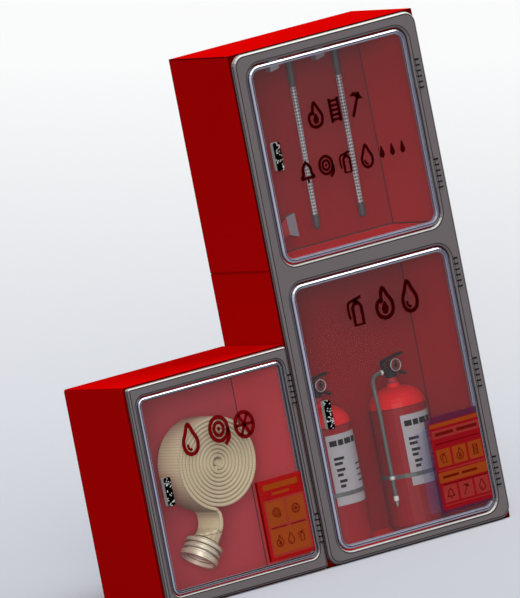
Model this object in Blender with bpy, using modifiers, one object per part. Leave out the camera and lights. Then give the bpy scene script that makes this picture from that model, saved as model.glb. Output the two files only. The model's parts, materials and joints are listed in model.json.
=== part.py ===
# Fire equipment cabinet: a column of two stacked boxes, for axes above and extinguishers below,
# with a lower hose box on its left. Metres, +Z up, front towards -Y.
# The origin is on the floor, in the middle of the footprint.
import math

import bmesh
import bpy
from mathutils import Matrix, Vector

mm = 0.001

# Boxes
column_width = 700 * mm
column_height = 1600 * mm
hose_box_width = 610 * mm
hose_box_height = 703 * mm
carcass_depth = 320 * mm
lower_box_height = 928 * mm
sheet = 1.5 * mm
column_fold = 2.5 * mm      # outer radius of the folds
hose_fold = 8 * mm
fold_steps = 4
lip = 2 * mm                # how far a front flange stops short of the frame's opening

# Fits
seat = 0.3 * mm             # gap between pieces that touch
door_clearance = 5 * mm
pin_clearance = 0.3 * mm

# Front frames
frame_proud = 18 * mm
column_frame_inset = 4 * mm
column_frame_corner = 39 * mm
column_frame_fillet = 9 * mm
column_stile = 42 * mm
top_rail = 39 * mm
middle_rail = 57 * mm
bottom_rail = 31 * mm
opening_drop = 55 * mm      # from the lower box's top down to its opening
hose_frame_inset = 6 * mm
hose_frame_corner = 8 * mm
hose_frame_fillet = 7 * mm
hose_stile = 22 * mm
hose_top_rail = 32 * mm
hose_bottom_rail = 37 * mm

# Doors
door_proud = 20 * mm
door_depth = 16 * mm
column_door_corner = 42 * mm
column_rim = 10 * mm
column_door_fillet = 9 * mm
hose_door_corner = 24 * mm
hose_rim = 8 * mm
hose_door_fillet = 7 * mm
rebate = 4 * mm             # how far the rim's back lip reaches behind the pane
pane = 5 * mm
pane_recess = 2 * mm
corner_steps = 6
fillet_steps = 2

# Hinges
knuckle_radius = 4 * mm
pin_radius = 2.2 * mm
hinge_length = 90 * mm
knuckles = 5
leaf_thickness = 2 * mm
leaf_gap = 1 * mm           # between the bent leaf and the frame that it wraps round
leaf_root = 3 * mm          # depth of the leaf's weld on the rim's side
leaf_steps = 4
leaf_sweep = 78             # degrees of the bend before the leaf runs straight to the barrels
upper_hinges = (0.753, 0.254)           # centres, as shares of the opening's height
lower_hinges = (0.887, 0.512, 0.142)
hose_hinges = (0.842, 0.142)
foot_inset = 0.7 * mm

# Latches
latch_width = 26 * mm
latch_height = 89 * mm
latch_proud = 17 * mm
latch_from_edge = 28 * mm
upper_latch = 0.538         # centres, as shares of the opening's height
lower_latch = 0.507
hose_latch = 0.516
latch_fillet = 3 * mm

# Extinguishers
tray_height = 24 * mm
extinguisher_spacing = 287 * mm
extinguisher_depth = 187 * mm
body_radius = 89 * mm
body_height = 377 * mm
dome_height = 60 * mm
neck_radius = 20 * mm
neck_height = 10 * mm
foot_radius = 12 * mm
stem_radius = 16 * mm
gauge_height = 527 * mm
gauge_radius = 21.5 * mm
gauge_reach = 30 * mm
outlet_rise = 26 * mm
outlet_reach = 32 * mm
outlet_radius = 9 * mm
lever_top = 570 * mm
lever_thickness = 4 * mm
lever_half = 9 * mm
lever_back = 32 * mm
lever_forward = 50 * mm
hose_radius = 5.5 * mm
hose_bearing = math.radians(20)     # the hose runs down the left side, a little to the front
strap_height = 192 * mm
strap_width = 13 * mm
clip_wall = 1.5 * mm
nozzle_top = 136 * mm
nozzle_length = 32 * mm
nozzle_radius = 7 * mm

# Axes
axe_spacing = 174 * mm
first_axe = 213 * mm
axe_depth = 252 * mm
axe_lean = math.radians(2)
axe_length = 600 * mm
head_drop = 82 * mm                 # from the column's top to the underside of the hanging heads
clip_drop = 493 * mm               # from the hanging heads down to the flipped one
shaft_radius = 8.5 * mm
grip_radius = 11 * mm
grip_length = 46 * mm
collar_radius = 11.5 * mm
collar_length = 68 * mm
collar_taper = 23 * mm
eye_height = 62 * mm
axe_head_width = 26 * mm
axe_outline = (
    (-80, -27), (-45, -20), (-22, 0), (22, 0), (42, 8), (86, 17), (86, 22), (42, 34), (16, 42),
    (14, 62), (-14, 62), (-16, 40), (-45, 35), (-80, 47),
)
rail_thickness = 3 * mm
rail_inset = 60 * mm
rail_below = 10 * mm
rail_above = 28 * mm
rail_reach = 12 * mm
prong = 6 * mm

# Fire hose
coil_centre = (-275.5 * mm, 396 * mm)
coil_front = 60 * mm
hose_flat_width = 125 * mm
coil_turns = 10
coil_pitch = 12.6 * mm
coil_band = 11.6 * mm
coil_eye = 10 * mm
coil_steps = 24
coil_end_bearing = -112.6
peg_radius = 9.5 * mm
tail_route = ((-34, -146), (-30, -165), (-33, -188), (-44, -209), (-60, -229))
tail_loft_steps = 3
tail_sides = 24
tail_radius = 40 * mm
coupling_radius = 61 * mm
coupling_length = 66 * mm
coupling_bore = 48 * mm
coupling_rings = ((8 * mm, 20 * mm, coupling_radius), (26 * mm, 40 * mm, coupling_radius - 3 * mm),
                  (46 * mm, coupling_length, coupling_radius))

head_height = column_height - head_drop
flipped_height = head_height - clip_drop
overall_width = column_width + hose_box_width + seat
overall_depth = carcass_depth + door_proud + latch_proud - pane_recess + seat
column_left = overall_width / 2 - column_width
column_right = overall_width / 2
hose_left = -overall_width / 2
hose_right = hose_left + hose_box_width
back = overall_depth / 2
front = back - carcass_depth
frame_face = front - frame_proud
door_face = front - door_proud


# Scene
for old in list(bpy.data.objects):
    bpy.data.objects.remove(old)

parts = bpy.data.collections.new("fire_equipment_cabinet")
cutters = bpy.data.collections.new("cutters")
for collection in (parts, cutters):
    bpy.context.scene.collection.children.link(collection)


def finish(name, color, roughness, metallic=0.0, alpha=1.0):
    """A Principled material."""
    made = bpy.data.materials.new(name)
    made.use_nodes = True
    made.diffuse_color = (*color, alpha)
    shader = made.node_tree.nodes["Principled BSDF"]
    shader.inputs["Base Color"].default_value = (*color, 1)
    shader.inputs["Roughness"].default_value = roughness
    shader.inputs["Metallic"].default_value = metallic
    shader.inputs["Alpha"].default_value = alpha
    return made


red_paint = finish("red_paint", (0.62, 0.0, 0.0), 0.35)
frame_metal = finish("frame_metal", (0.24, 0.21, 0.22), 0.4, 0.6)
rim_metal = finish("rim_metal", (0.55, 0.57, 0.66), 0.25, 0.8)
tinted_glass = finish("tinted_glass", (0.45, 0.06, 0.07), 0.05, 0.0, 0.4)
bright_steel = finish("bright_steel", (0.6, 0.6, 0.6), 0.3, 1.0)
dark_plastic = finish("dark_plastic", (0.03, 0.03, 0.03), 0.5)
extinguisher_red = finish("extinguisher_red", (0.7, 0.01, 0.01), 0.25)
shaft_grey = finish("shaft_grey", (0.45, 0.45, 0.45), 0.5)
axe_red = finish("axe_red", (0.6, 0.02, 0.02), 0.4)
hose_canvas = finish("hose_canvas", (0.6, 0.46, 0.3), 0.9)
coupling_metal = finish("coupling_metal", (0.6, 0.56, 0.48), 0.35, 0.8)


def place(name, data, material=None, collection=parts):
    """An object in the scene; a cutter when the collection is the cutters'."""
    made = bpy.data.objects.new(name, data)
    collection.objects.link(made)
    if material:
        data.materials.append(material)
    if collection is cutters:
        made.hide_render = True
        made.display_type = "WIRE"
    return made


def block(name, low, high, material=None, collection=parts):
    """A box between two corners."""
    low, high = Vector(low), Vector(high)
    made = bmesh.new()
    bmesh.ops.create_cube(made, size=1)
    bmesh.ops.scale(made, vec=high - low, verts=made.verts)
    bmesh.ops.translate(made, vec=(low + high) / 2, verts=made.verts)
    data = bpy.data.meshes.new(name)
    made.to_mesh(data)
    made.free()
    return place(name, data, material, collection)


def bar(name, outline, low, high, collection=cutters):
    """An upright bar: an outline of (x, y) raised from one height to another."""
    made = bmesh.new()
    foot = made.faces.new([made.verts.new((x, y, low)) for x, y in outline])
    raised = bmesh.ops.extrude_face_region(made, geom=[foot])
    top = [item for item in raised["geom"] if isinstance(item, bmesh.types.BMVert)]
    bmesh.ops.translate(made, vec=(0, 0, high - low), verts=top)
    bmesh.ops.recalc_face_normals(made, faces=made.faces)
    data = bpy.data.meshes.new(name)
    made.to_mesh(data)
    made.free()
    return place(name, data, collection=collection)


def rod(name, start, end, radius, material=None, collection=parts, sides=16):
    """A cylinder from one point to another."""
    start, end = Vector(start), Vector(end)
    along = end - start
    made = bmesh.new()
    bmesh.ops.create_cone(
        made, cap_ends=True, segments=sides, radius1=radius, radius2=radius, depth=along.length
    )
    turn = along.to_track_quat("Z", "Y").to_matrix().to_4x4()
    bmesh.ops.transform(made, matrix=Matrix.Translation((start + end) / 2) @ turn, verts=made.verts)
    data = bpy.data.meshes.new(name)
    made.to_mesh(data)
    made.free()
    smooth(data)
    return place(name, data, material, collection)


def smooth(data, angle=35):
    data.shade_smooth()
    data.set_sharp_from_angle(angle=math.radians(angle))


def boolean(target, operation, *others):
    """Booleans that stay on their object."""
    for other in others:
        modifier = target.modifiers.new(other.name, "BOOLEAN")
        modifier.operation = operation
        modifier.object = other
    return target


def rounded(left, right, low, high, radius, steps=corner_steps):
    """The points of a rectangle with round corners, counter-clockwise from the front."""
    points = []
    corners = (
        (right - radius, low + radius, -90),
        (right - radius, high - radius, 0),
        (left + radius, high - radius, 90),
        (left + radius, low + radius, 180),
    )
    for x, z, start in corners:
        for step in range(steps + 1):
            angle = math.radians(start + 90 * step / steps)
            points.append((x + radius * math.cos(angle), z + radius * math.sin(angle)))
    return points


def plate(name, outlines, face, rear, material=None, collection=parts, fillet=0.0):
    """A flat piece in the cabinet's front plane: the first outline less the others.

    Its front edges are rounded by fillet, and its rear is flat."""
    curve = bpy.data.curves.new(name, "CURVE")
    curve.dimensions = "2D"
    curve.fill_mode = "BOTH"
    depth = rear - face
    half = depth if fillet else depth / 2
    curve.extrude = half - fillet
    curve.bevel_depth = fillet
    curve.bevel_resolution = fillet_steps
    curve.offset = -fillet
    for index, outline in enumerate(outlines):
        spline = curve.splines.new("POLY")
        points = outline if index == 0 else outline[::-1]
        spline.points.add(len(points) - 1)
        for point, (x, z) in zip(spline.points, points):
            point.co = (x, z, 0, 1)
        spline.use_cyclic_u = True
    flat = bpy.data.objects.new(name + "_curve", curve)
    bpy.context.scene.collection.objects.link(flat)
    flat.rotation_euler = (math.pi / 2, 0, 0)
    flat.location = (0, rear if fillet else (face + rear) / 2, 0)
    made = meshed(name, flat, material, collection)
    if fillet:
        xs = [x for x, z in outlines[0]]
        zs = [z for x, z in outlines[0]]
        behind = block(
            name + "_rear",
            (min(xs) - depth, rear, min(zs) - depth),
            (max(xs) + depth, rear + 2 * depth, max(zs) + depth),
            collection=cutters,
        )
        boolean(made, "DIFFERENCE", behind)
    return made


def meshed(name, curve_object, material, collection=parts):
    """A mesh object from a curve, with the curve's caps welded to its sides."""
    bpy.context.view_layer.update()
    graph = bpy.context.evaluated_depsgraph_get()
    data = bpy.data.meshes.new_from_object(curve_object.evaluated_get(graph))
    data.name = name
    welded = bmesh.new()
    welded.from_mesh(data)
    bmesh.ops.remove_doubles(welded, verts=welded.verts, dist=0.00001)
    welded.to_mesh(data)
    welded.free()
    data.materials.clear()
    made = place(name, data, material, collection)
    made.matrix_world = curve_object.matrix_world
    bpy.data.objects.remove(curve_object)
    return made


def turned(name, profile, centre, material, steps=32, collection=parts):
    """A piece turned about a vertical axis, from a profile of (radius, height) down its outside."""
    data = bpy.data.meshes.new(name)
    made = bmesh.new()
    verts = [made.verts.new((radius, 0, height)) for radius, height in profile]
    for first, second in zip(verts, verts[1:]):
        made.edges.new((first, second))
    made.to_mesh(data)
    made.free()
    shape = place(name, data, material, collection)
    shape.location = centre
    screw = shape.modifiers.new("Screw", "SCREW")
    screw.steps = steps
    screw.render_steps = steps
    screw.use_merge_vertices = True
    screw.merge_threshold = 0.0001
    screw.use_smooth_shade = True
    return shape


def smooth_route(points, per_span=4):
    """Points on a smooth curve through the given ones."""
    spots = [Vector(point) for point in points]
    spots = [2 * spots[0] - spots[1]] + spots + [2 * spots[-1] - spots[-2]]
    route = []
    for a, b, c, d in zip(spots, spots[1:], spots[2:], spots[3:]):
        for step in range(per_span):
            t = step / per_span
            route.append(
                0.5 * (2 * b + (c - a) * t + (2 * a - 5 * b + 4 * c - d) * t**2
                       + (3 * b - a - 3 * c + d) * t**3)
            )
    return route + [spots[-2]]


def tube(name, route, radius, material, collection=parts):
    """A round tube along a route, with closed ends."""
    curve = bpy.data.curves.new(name, "CURVE")
    curve.dimensions = "3D"
    curve.bevel_depth = radius
    curve.bevel_resolution = 2
    curve.use_fill_caps = True
    spline = curve.splines.new("POLY")
    spline.points.add(len(route) - 1)
    for point, place_at in zip(spline.points, route):
        point.co = (*place_at, 1)
    flat = bpy.data.objects.new(name + "_curve", curve)
    bpy.context.scene.collection.objects.link(flat)
    return meshed(name, flat, material, collection)


# Carcass
def folded_box(prefix, names, left, right, low, high, fold, leg, opening, flange):
    """A box of folded sheet steel, open to the back, in four wall panels with front flanges,
    and a back panel between them. The opening is the frame's, and the flanges stop short of it."""
    made = bmesh.new()
    bmesh.ops.create_cube(made, size=1)
    size = Vector((right - left, back - front, high - low))
    bmesh.ops.scale(made, vec=size, verts=made.verts)
    middle = Vector(((left + right) / 2, (front + back) / 2, (low + high) / 2))
    bmesh.ops.translate(made, vec=middle, verts=made.verts)
    rear = [face for face in made.faces if face.normal.y > 0.5]
    bmesh.ops.delete(made, geom=rear, context="FACES_ONLY")
    folds = [edge for edge in made.edges if len(edge.link_faces) == 2]
    bmesh.ops.bevel(
        made, geom=folds, offset=fold, segments=fold_steps, affect="EDGES", profile=0.5
    )
    shell = bpy.data.meshes.new(prefix + "_shell")
    made.to_mesh(shell)
    made.free()
    smooth(shell)

    open_left, open_right, open_low, open_high, corner = opening
    window = plate(
        prefix + "_window",
        [rounded(open_left - lip, open_right + lip, open_low - lip, open_high + lip, corner + lip)],
        front - sheet, front + 2 * sheet, collection=cutters,
    )
    out = 5 * sheet
    inner_left = left + flange
    inner_right = right - flange
    near = seat / 2
    split_low, split_high = low + leg, high - leg
    middle_height = (low + high) / 2
    regions = {
        "left": [(left - out, split_low + near), (inner_left - near, split_low + near),
                 (inner_left - near, split_high - near), (left - out, split_high - near)],
        "right": [(inner_right + near, split_low + near), (right + out, split_low + near),
                  (right + out, split_high - near), (inner_right + near, split_high - near)],
        "top": [(left - out, high + out), (left - out, split_high + near),
                (inner_left + near, split_high + near), (inner_left + near, middle_height),
                (inner_right - near, middle_height), (inner_right - near, split_high + near),
                (right + out, split_high + near), (right + out, high + out)][::-1],
        "bottom": [(left - out, low - out), (right + out, low - out),
                   (right + out, split_low - near), (inner_right - near, split_low - near),
                   (inner_right - near, middle_height), (inner_left + near, middle_height),
                   (inner_left + near, split_low - near), (left - out, split_low - near)],
    }
    for side, region in regions.items():
        panel = place(names[side], shell.copy(), red_paint)
        skin = panel.modifiers.new("Sheet", "SOLIDIFY")
        skin.thickness = sheet
        skin.offset = -1
        share = plate(
            names[side] + "_share", [region], front - out, back + out, collection=cutters
        )
        boolean(panel, "DIFFERENCE", window)
        boolean(panel, "INTERSECT", share)
    inside = sheet + seat
    plate(
        names["back"],
        [rounded(left + inside, right - inside, low + inside, high - inside, fold - inside, 2)],
        back - sheet, back, red_paint,
    )


def carcass():
    column_opening_left = column_left + column_frame_inset + column_stile
    column_opening_right = column_right - column_frame_inset - column_stile
    column_corner = column_door_corner + door_clearance
    upper_low = lower_box_height + seat
    folded_box(
        "upper",
        {"left": "upper_left_panel", "right": "upper_right_panel", "top": "upper_top_panel",
         "bottom": "upper_floor_panel", "back": "upper_back_panel"},
        column_left, column_right, upper_low, column_height, column_fold, column_fold + sheet,
        (column_opening_left, column_opening_right, upper_low + sheet + 2 * lip,
         column_height - column_frame_inset - top_rail, column_corner),
        column_frame_inset + column_stile,
    )
    folded_box(
        "lower",
        {"left": "lower_left_panel", "right": "lower_right_panel", "top": "lower_roof_panel",
         "bottom": "lower_bottom_panel", "back": "lower_back_panel"},
        column_left, column_right, 0, lower_box_height, column_fold, column_fold + sheet,
        (column_opening_left, column_opening_right, column_frame_inset + bottom_rail,
         lower_box_height - opening_drop, column_corner),
        column_frame_inset + column_stile,
    )
    folded_box(
        "hose",
        {"left": "hose_left_panel", "right": "hose_right_panel", "top": "hose_top_panel",
         "bottom": "hose_bottom_panel", "back": "hose_back_panel"},
        hose_left, hose_right, 0, hose_box_height, hose_fold, hose_fold + 2 * sheet,
        (hose_left + hose_frame_inset + hose_stile, hose_right - hose_frame_inset - hose_stile,
         hose_frame_inset + hose_bottom_rail, hose_box_height - hose_frame_inset - hose_top_rail,
         hose_door_corner + door_clearance),
        hose_frame_inset + hose_stile,
    )


def tray():
    """The folded tray that raises the extinguishers off the bottom panel."""
    clear = sheet + 2 * seat
    deck = block(
        "lower_floor_tray",
        (column_left + clear, front + clear, sheet + seat),
        (column_right - clear, back - clear, tray_height),
        red_paint,
    )
    hollow = block(
        "tray_hollow",
        (column_left + clear + sheet, front + clear + sheet, -sheet),
        (column_right - clear - sheet, back - clear - sheet, tray_height - sheet),
        collection=cutters,
    )
    boolean(deck, "DIFFERENCE", hollow)


# Openings of the frames, as left, right, low, high
column_opening = (
    column_left + column_frame_inset + column_stile,
    column_right - column_frame_inset - column_stile,
)
lower_opening_low = column_frame_inset + bottom_rail
lower_opening_high = lower_box_height - opening_drop
upper_opening_low = lower_opening_high + middle_rail
upper_opening_high = column_height - column_frame_inset - top_rail
hose_opening = (
    hose_left + hose_frame_inset + hose_stile,
    hose_right - hose_frame_inset - hose_stile,
)
hose_opening_low = hose_frame_inset + hose_bottom_rail
hose_opening_high = hose_box_height - hose_frame_inset - hose_top_rail

compartments = {
    "upper": {
        "opening": (*column_opening, upper_opening_low, upper_opening_high),
        "corner": column_door_corner, "rim": column_rim, "fillet": column_door_fillet,
        "frame_fillet": column_frame_fillet, "hinges": upper_hinges, "latch": upper_latch,
    },
    "lower": {
        "opening": (*column_opening, lower_opening_low, lower_opening_high),
        "corner": column_door_corner, "rim": column_rim, "fillet": column_door_fillet,
        "frame_fillet": column_frame_fillet, "hinges": lower_hinges, "latch": lower_latch,
    },
    "hose": {
        "opening": (*hose_opening, hose_opening_low, hose_opening_high),
        "corner": hose_door_corner, "rim": hose_rim, "fillet": hose_door_fillet,
        "frame_fillet": hose_frame_fillet, "hinges": hose_hinges, "latch": hose_latch,
    },
}


def frames():
    openings = {
        name: rounded(*facts["opening"], facts["corner"] + door_clearance)
        for name, facts in compartments.items()
    }
    plate(
        "column_front_frame",
        [rounded(column_left + column_frame_inset, column_right - column_frame_inset,
                 column_frame_inset, column_height - column_frame_inset, column_frame_corner),
         openings["upper"], openings["lower"]],
        frame_face, front - seat, frame_metal, fillet=column_frame_fillet,
    )
    plate(
        "hose_front_frame",
        [rounded(hose_left + hose_frame_inset, hose_right - hose_frame_inset,
                 hose_frame_inset, hose_box_height - hose_frame_inset, hose_frame_corner),
         openings["hose"]],
        frame_face, front - seat, frame_metal, fillet=hose_frame_fillet,
    )


# Doors
hinge_y = frame_face - seat - knuckle_radius


def knuckle_spans(height):
    """The low and high end of each knuckle of a hinge centred at that height."""
    pitch = hinge_length / knuckles
    low = height - hinge_length / 2
    return [(low + pitch * i + seat / 2, low + pitch * (i + 1) - seat / 2) for i in range(knuckles)]


def door(name, facts):
    left, right, low, high = facts["opening"]
    left, right = left + door_clearance, right - door_clearance
    low, high = low + door_clearance, high - door_clearance
    corner, width = facts["corner"], facts["rim"]
    hinge_x = facts["opening"][1] + facts["frame_fillet"] + knuckle_radius
    opening_low, opening_high = facts["opening"][2:]

    swing = bpy.data.objects.new(name + "_door_swing", None)
    parts.objects.link(swing)
    swing.location = (hinge_x, hinge_y, (low + high) / 2)

    def inset(by):
        return rounded(left + by, right - by, low + by, high - by, corner - by)

    rim = plate(
        name + "_door_rim", [inset(0)], door_face, door_face + door_depth, rim_metal,
        fillet=facts["fillet"],
    )
    pane_rear = door_face + pane_recess + pane
    window = plate(
        name + "_door_window", [inset(width + rebate)], door_face - pane,
        door_face + door_depth + pane, collection=cutters,
    )
    pocket = plate(
        name + "_door_pocket", [inset(width)], door_face - pane, pane_rear + seat,
        collection=cutters,
    )
    boolean(rim, "DIFFERENCE", window, pocket)
    glass = plate(
        name + "_door_pane", [inset(width + seat)], door_face + pane_recess, pane_rear, tinted_glass
    )
    latch_middle = opening_low + facts["latch"] * (opening_high - opening_low)
    latch_left = left + latch_from_edge
    latch = plate(
        name + "_door_latch",
        [rounded(latch_left, latch_left + latch_width, latch_middle - latch_height / 2,
                 latch_middle + latch_height / 2, 2 * latch_fillet, 3)],
        door_face + pane_recess - seat - latch_proud, door_face + pane_recess - seat,
        dark_plastic, fillet=latch_fillet,
    )
    leaf_face = frame_face - leaf_gap - leaf_thickness
    for index, share in enumerate(facts["hinges"]):
        spans = knuckle_spans(opening_low + share * (opening_high - opening_low))
        label = f"{name}_hinge_{index + 1}"
        leaf = bar(
            label + "_leaf", leaf_outline(right, facts), spans[0][0], spans[-1][1]
        )
        boolean(rim, "UNION", leaf)
        for number, (bottom, top) in enumerate(spans[1::2]):
            tongue = block(
                f"{label}_tongue_{number}",
                (hinge_x - knuckle_radius - 3 * leaf_gap, leaf_face, bottom),
                (hinge_x - 0.1 * knuckle_radius, leaf_face + leaf_thickness, top),
                collection=cutters,
            )
            barrel = rod(
                f"{label}_barrel_{number}", (hinge_x, hinge_y, bottom), (hinge_x, hinge_y, top),
                knuckle_radius, collection=cutters, sides=12,
            )
            boolean(rim, "UNION", tongue, barrel)
        bore = rod(
            f"{label}_bore", (hinge_x, hinge_y, spans[0][0]), (hinge_x, hinge_y, spans[-1][1]),
            pin_radius + pin_clearance, collection=cutters,
        )
        boolean(rim, "DIFFERENCE", bore)
        fixed_hinge(label, hinge_x, spans)
    for piece in (rim, glass, latch):
        hang(piece, swing)


def leaf_outline(rim_side, facts):
    """A leaf's section: from its weld on the rim's side, round the frame's fillet."""
    fillet = facts["frame_fillet"]
    centre = (facts["opening"][1] + fillet, frame_face + fillet)
    inner, outer = fillet + leaf_gap, fillet + leaf_gap + leaf_thickness

    def bend(radius):
        angles = [
            math.radians(180 + leaf_sweep * step / leaf_steps) for step in range(leaf_steps + 1)
        ]
        return [
            (centre[0] + radius * math.cos(a), centre[1] + radius * math.sin(a)) for a in angles
        ]

    weld = centre[1] + leaf_root
    return (
        [(rim_side - sheet, weld), (centre[0] - inner, weld)] + bend(inner)
        + bend(outer)[::-1] + [(rim_side - sheet, centre[1])]
    )


def hang(piece, carrier):
    """Parents a piece that is already in place."""
    bpy.context.view_layer.update()
    world = piece.matrix_world.copy()
    piece.parent = carrier
    piece.matrix_parent_inverse = carrier.matrix_world.inverted()
    piece.matrix_world = world


def fixed_hinge(name, hinge_x, spans):
    """The pin, with the knuckles that stand on the frame's face."""
    pin = rod(
        name, (hinge_x, hinge_y, spans[0][0]), (hinge_x, hinge_y, spans[-1][1]), pin_radius,
        bright_steel, sides=12,
    )
    for number, (bottom, top) in enumerate(spans[::2]):
        barrel = rod(
            f"{name}_knuckle_{number}", (hinge_x, hinge_y, bottom), (hinge_x, hinge_y, top),
            knuckle_radius, collection=cutters, sides=12,
        )
        foot = block(
            f"{name}_foot_{number}",
            (hinge_x - knuckle_radius * 0.7, hinge_y, bottom + foot_inset),
            (hinge_x + knuckle_radius * 0.8, frame_face - seat, top - foot_inset),
            collection=cutters,
        )
        boolean(pin, "UNION", barrel, foot)


# Extinguishers
def extinguisher(number, x):
    y = front + extinguisher_depth
    foot = tray_height + seat
    neck = body_height + dome_height
    label = f"extinguisher_{number}"
    dome = [
        (neck_radius + (body_radius - neck_radius) * math.sin(math.radians(a)),
         body_height + dome_height * math.cos(math.radians(a)))
        for a in range(0, 91, 15)
    ]
    base = [
        (body_radius - foot_radius * (1 - math.cos(math.radians(a))),
         foot_radius * (1 - math.sin(math.radians(a))))
        for a in range(0, 91, 30)
    ]
    profile = [(0, neck + neck_height), (neck_radius, neck + neck_height)] + dome + base + [(0, 0)]
    turned(label + "_cylinder", profile, (x, y, foot), extinguisher_red)

    valve_low = foot + neck + neck_height + seat
    outlet_height = valve_low + outlet_rise
    lever_low = lever_top - lever_thickness
    root = stem_radius / 5
    body = turned(
        label + "_valve",
        [(0, lever_low + lever_thickness / 2 - valve_low),
         (stem_radius * 0.6, lever_low + lever_thickness / 2 - valve_low),
         (stem_radius * 0.6, 48 * mm), (stem_radius, 44 * mm), (stem_radius, 8 * mm),
         (neck_radius, 8 * mm), (neck_radius, 0), (0, 0)],
        (x, y, valve_low), dark_plastic, steps=20,
    )
    gauge = rod(
        label + "_gauge", (x, y - root, gauge_height), (x, y - gauge_reach, gauge_height),
        gauge_radius, collection=cutters,
    )
    outlet = rod(
        label + "_outlet", (x - root, y, outlet_height), (x - outlet_reach, y, outlet_height),
        outlet_radius, collection=cutters, sides=14,
    )
    lever = block(
        label + "_lever", (x - lever_back, y - lever_half, lever_low),
        (x + lever_forward, y + lever_half, lever_top), collection=cutters,
    )
    handle = block(
        label + "_handle", (x + root, y - lever_half, outlet_height + 4 * mm),
        (x + lever_forward - 4 * mm, y + lever_half, outlet_height + 4 * mm + lever_thickness),
        collection=cutters,
    )
    boolean(body, "UNION", gauge, outlet, lever, handle)

    strap_face = body_radius + seat + sheet
    run = strap_face + seat + hose_radius
    away = Vector((-math.cos(hose_bearing), -math.sin(hose_bearing), 0))
    down = Vector((x, y, 0)) + run * away
    elbow = Vector((x - outlet_reach - seat, y, outlet_height))

    def along(height):
        return down + Vector((0, 0, height))

    route = [
        elbow + Vector((-3 * mm, 0, 0)), elbow + Vector((-16 * mm, 0, 0)),
        elbow.lerp(along(outlet_height), 0.75) + Vector((0, 0, -10 * mm)),
        along(outlet_height - 42 * mm), along(outlet_height - 62 * mm),
        along(outlet_height - 90 * mm), along((outlet_height + strap_height) / 2),
        along(strap_height + 2 * strap_width), along(strap_height),
        along(nozzle_top - 6 * mm),
    ]
    line = tube(label + "_hose", [elbow] + smooth_route(route, 3), hose_radius, dark_plastic)
    nozzle = turned(
        label + "_nozzle",
        [(0, nozzle_length), (nozzle_radius, nozzle_length), (nozzle_radius, nozzle_length / 2),
         (nozzle_radius * 0.6, nozzle_length / 2 - 3 * mm), (nozzle_radius * 0.45, 0), (0, 0)],
        along(nozzle_top - nozzle_length), None, steps=14, collection=cutters,
    )
    boolean(line, "UNION", nozzle)

    inner = body_radius + seat
    band = turned(
        label + "_strap",
        [(strap_face, strap_width), (strap_face, 0), (inner, 0), (inner, strap_width),
         (strap_face, strap_width)],
        (x, y, strap_height - strap_width / 2), bright_steel,
    )
    clip = turned(
        label + "_clip",
        [(hose_radius + seat + clip_wall, strap_width * 0.8), (hose_radius + seat + clip_wall, 0),
         (hose_radius + seat, 0), (hose_radius + seat, strap_width * 0.8),
         (hose_radius + seat + clip_wall, strap_width * 0.8)],
        along(strap_height - strap_width * 0.4), None, steps=14, collection=cutters,
    )
    boolean(band, "UNION", clip)


# Axes
def axe(number, x, height, flipped):
    """A fire axe. Its carrier stands at the underside of the head, with the handle along -Z."""
    label = f"axe_{number}"
    carrier = bpy.data.objects.new(label + "_carrier", None)
    parts.objects.link(carrier)
    carrier.location = (x, front + axe_depth, height)
    carrier.rotation_euler = (axe_lean, math.pi if flipped else 0, 0)

    length = axe_length - eye_height
    profile = [
        (0, -seat), (collar_radius, -seat), (collar_radius, -collar_length),
        (shaft_radius, -collar_length - collar_taper), (shaft_radius, grip_length - length),
        (grip_radius, grip_length - length), (grip_radius, grip_radius - length),
        (grip_radius * 0.7, grip_radius * 0.3 - length), (0, -length),
    ]
    handle = turned(label + "_handle", profile, (0, 0, 0), shaft_grey, steps=16)
    outline = [(x * mm, z * mm) for x, z in axe_outline]
    head = plate(
        label + "_head", [outline], -axe_head_width / 2, axe_head_width / 2, axe_red
    )
    for piece in (handle, head):
        piece.parent = carrier


def axe_rack():
    """A rail on the back panel: forks under the two hanging heads, a clip round the third shaft."""
    inner_back = back - sheet - seat
    middle = front + axe_depth
    rail = block(
        "axe_rack",
        (column_left + rail_inset, inner_back - rail_thickness, head_height - rail_below),
        (column_right - rail_inset, inner_back, head_height + rail_above), frame_metal,
    )
    reach = middle - rail_reach
    for number in (2, 3):
        x = axe_x(number)
        for way in (-1, 1):
            near = x + way * (collar_radius + 3 * seat)
            far = near + way * prong
            hook = block(
                f"hook_{number}_{way}",
                (min(near, far), reach, head_height - 2 * seat - prong),
                (max(near, far), inner_back - seat, head_height - 2 * seat), collection=cutters,
            )
            boolean(rail, "UNION", hook)
    x = axe_x(1)
    for way in (-1, 1):
        near = x + way * (grip_radius + seat)
        far = near + way * prong
        jaw = block(
            f"jaw_{way}", (min(near, far), reach, head_height - rail_below + seat),
            (max(near, far), inner_back - seat, head_height + rail_above - seat),
            collection=cutters,
        )
        boolean(rail, "UNION", jaw)


def axe_x(number):
    return column_left + first_axe + (number - 1) * axe_spacing


# Fire hose
coil_x = column_left + coil_centre[0]
coil_z = coil_centre[1]
coil_face = front + coil_front
coil_rear = coil_face + hose_flat_width
coil_end = math.radians(coil_end_bearing)


def hose_coil():
    outer, inner = [], []
    count = coil_turns * coil_steps
    for step in range(count + 1):
        angle = coil_end + 2 * math.pi * (step / coil_steps - coil_turns)
        radius = coil_eye + coil_pitch * step / coil_steps
        for line, extra in ((outer, coil_band), (inner, 0)):
            line.append((
                coil_x + (radius + extra) * math.cos(angle),
                coil_z + (radius + extra) * math.sin(angle),
            ))
    plate("hose_coil", [outer + inner[::-1]], coil_face, coil_rear, hose_canvas)
    rod(
        "hose_peg", (coil_x, coil_face + 12 * mm, coil_z),
        (coil_x, back - sheet - seat, coil_z), peg_radius, frame_metal, sides=16,
    )


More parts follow.
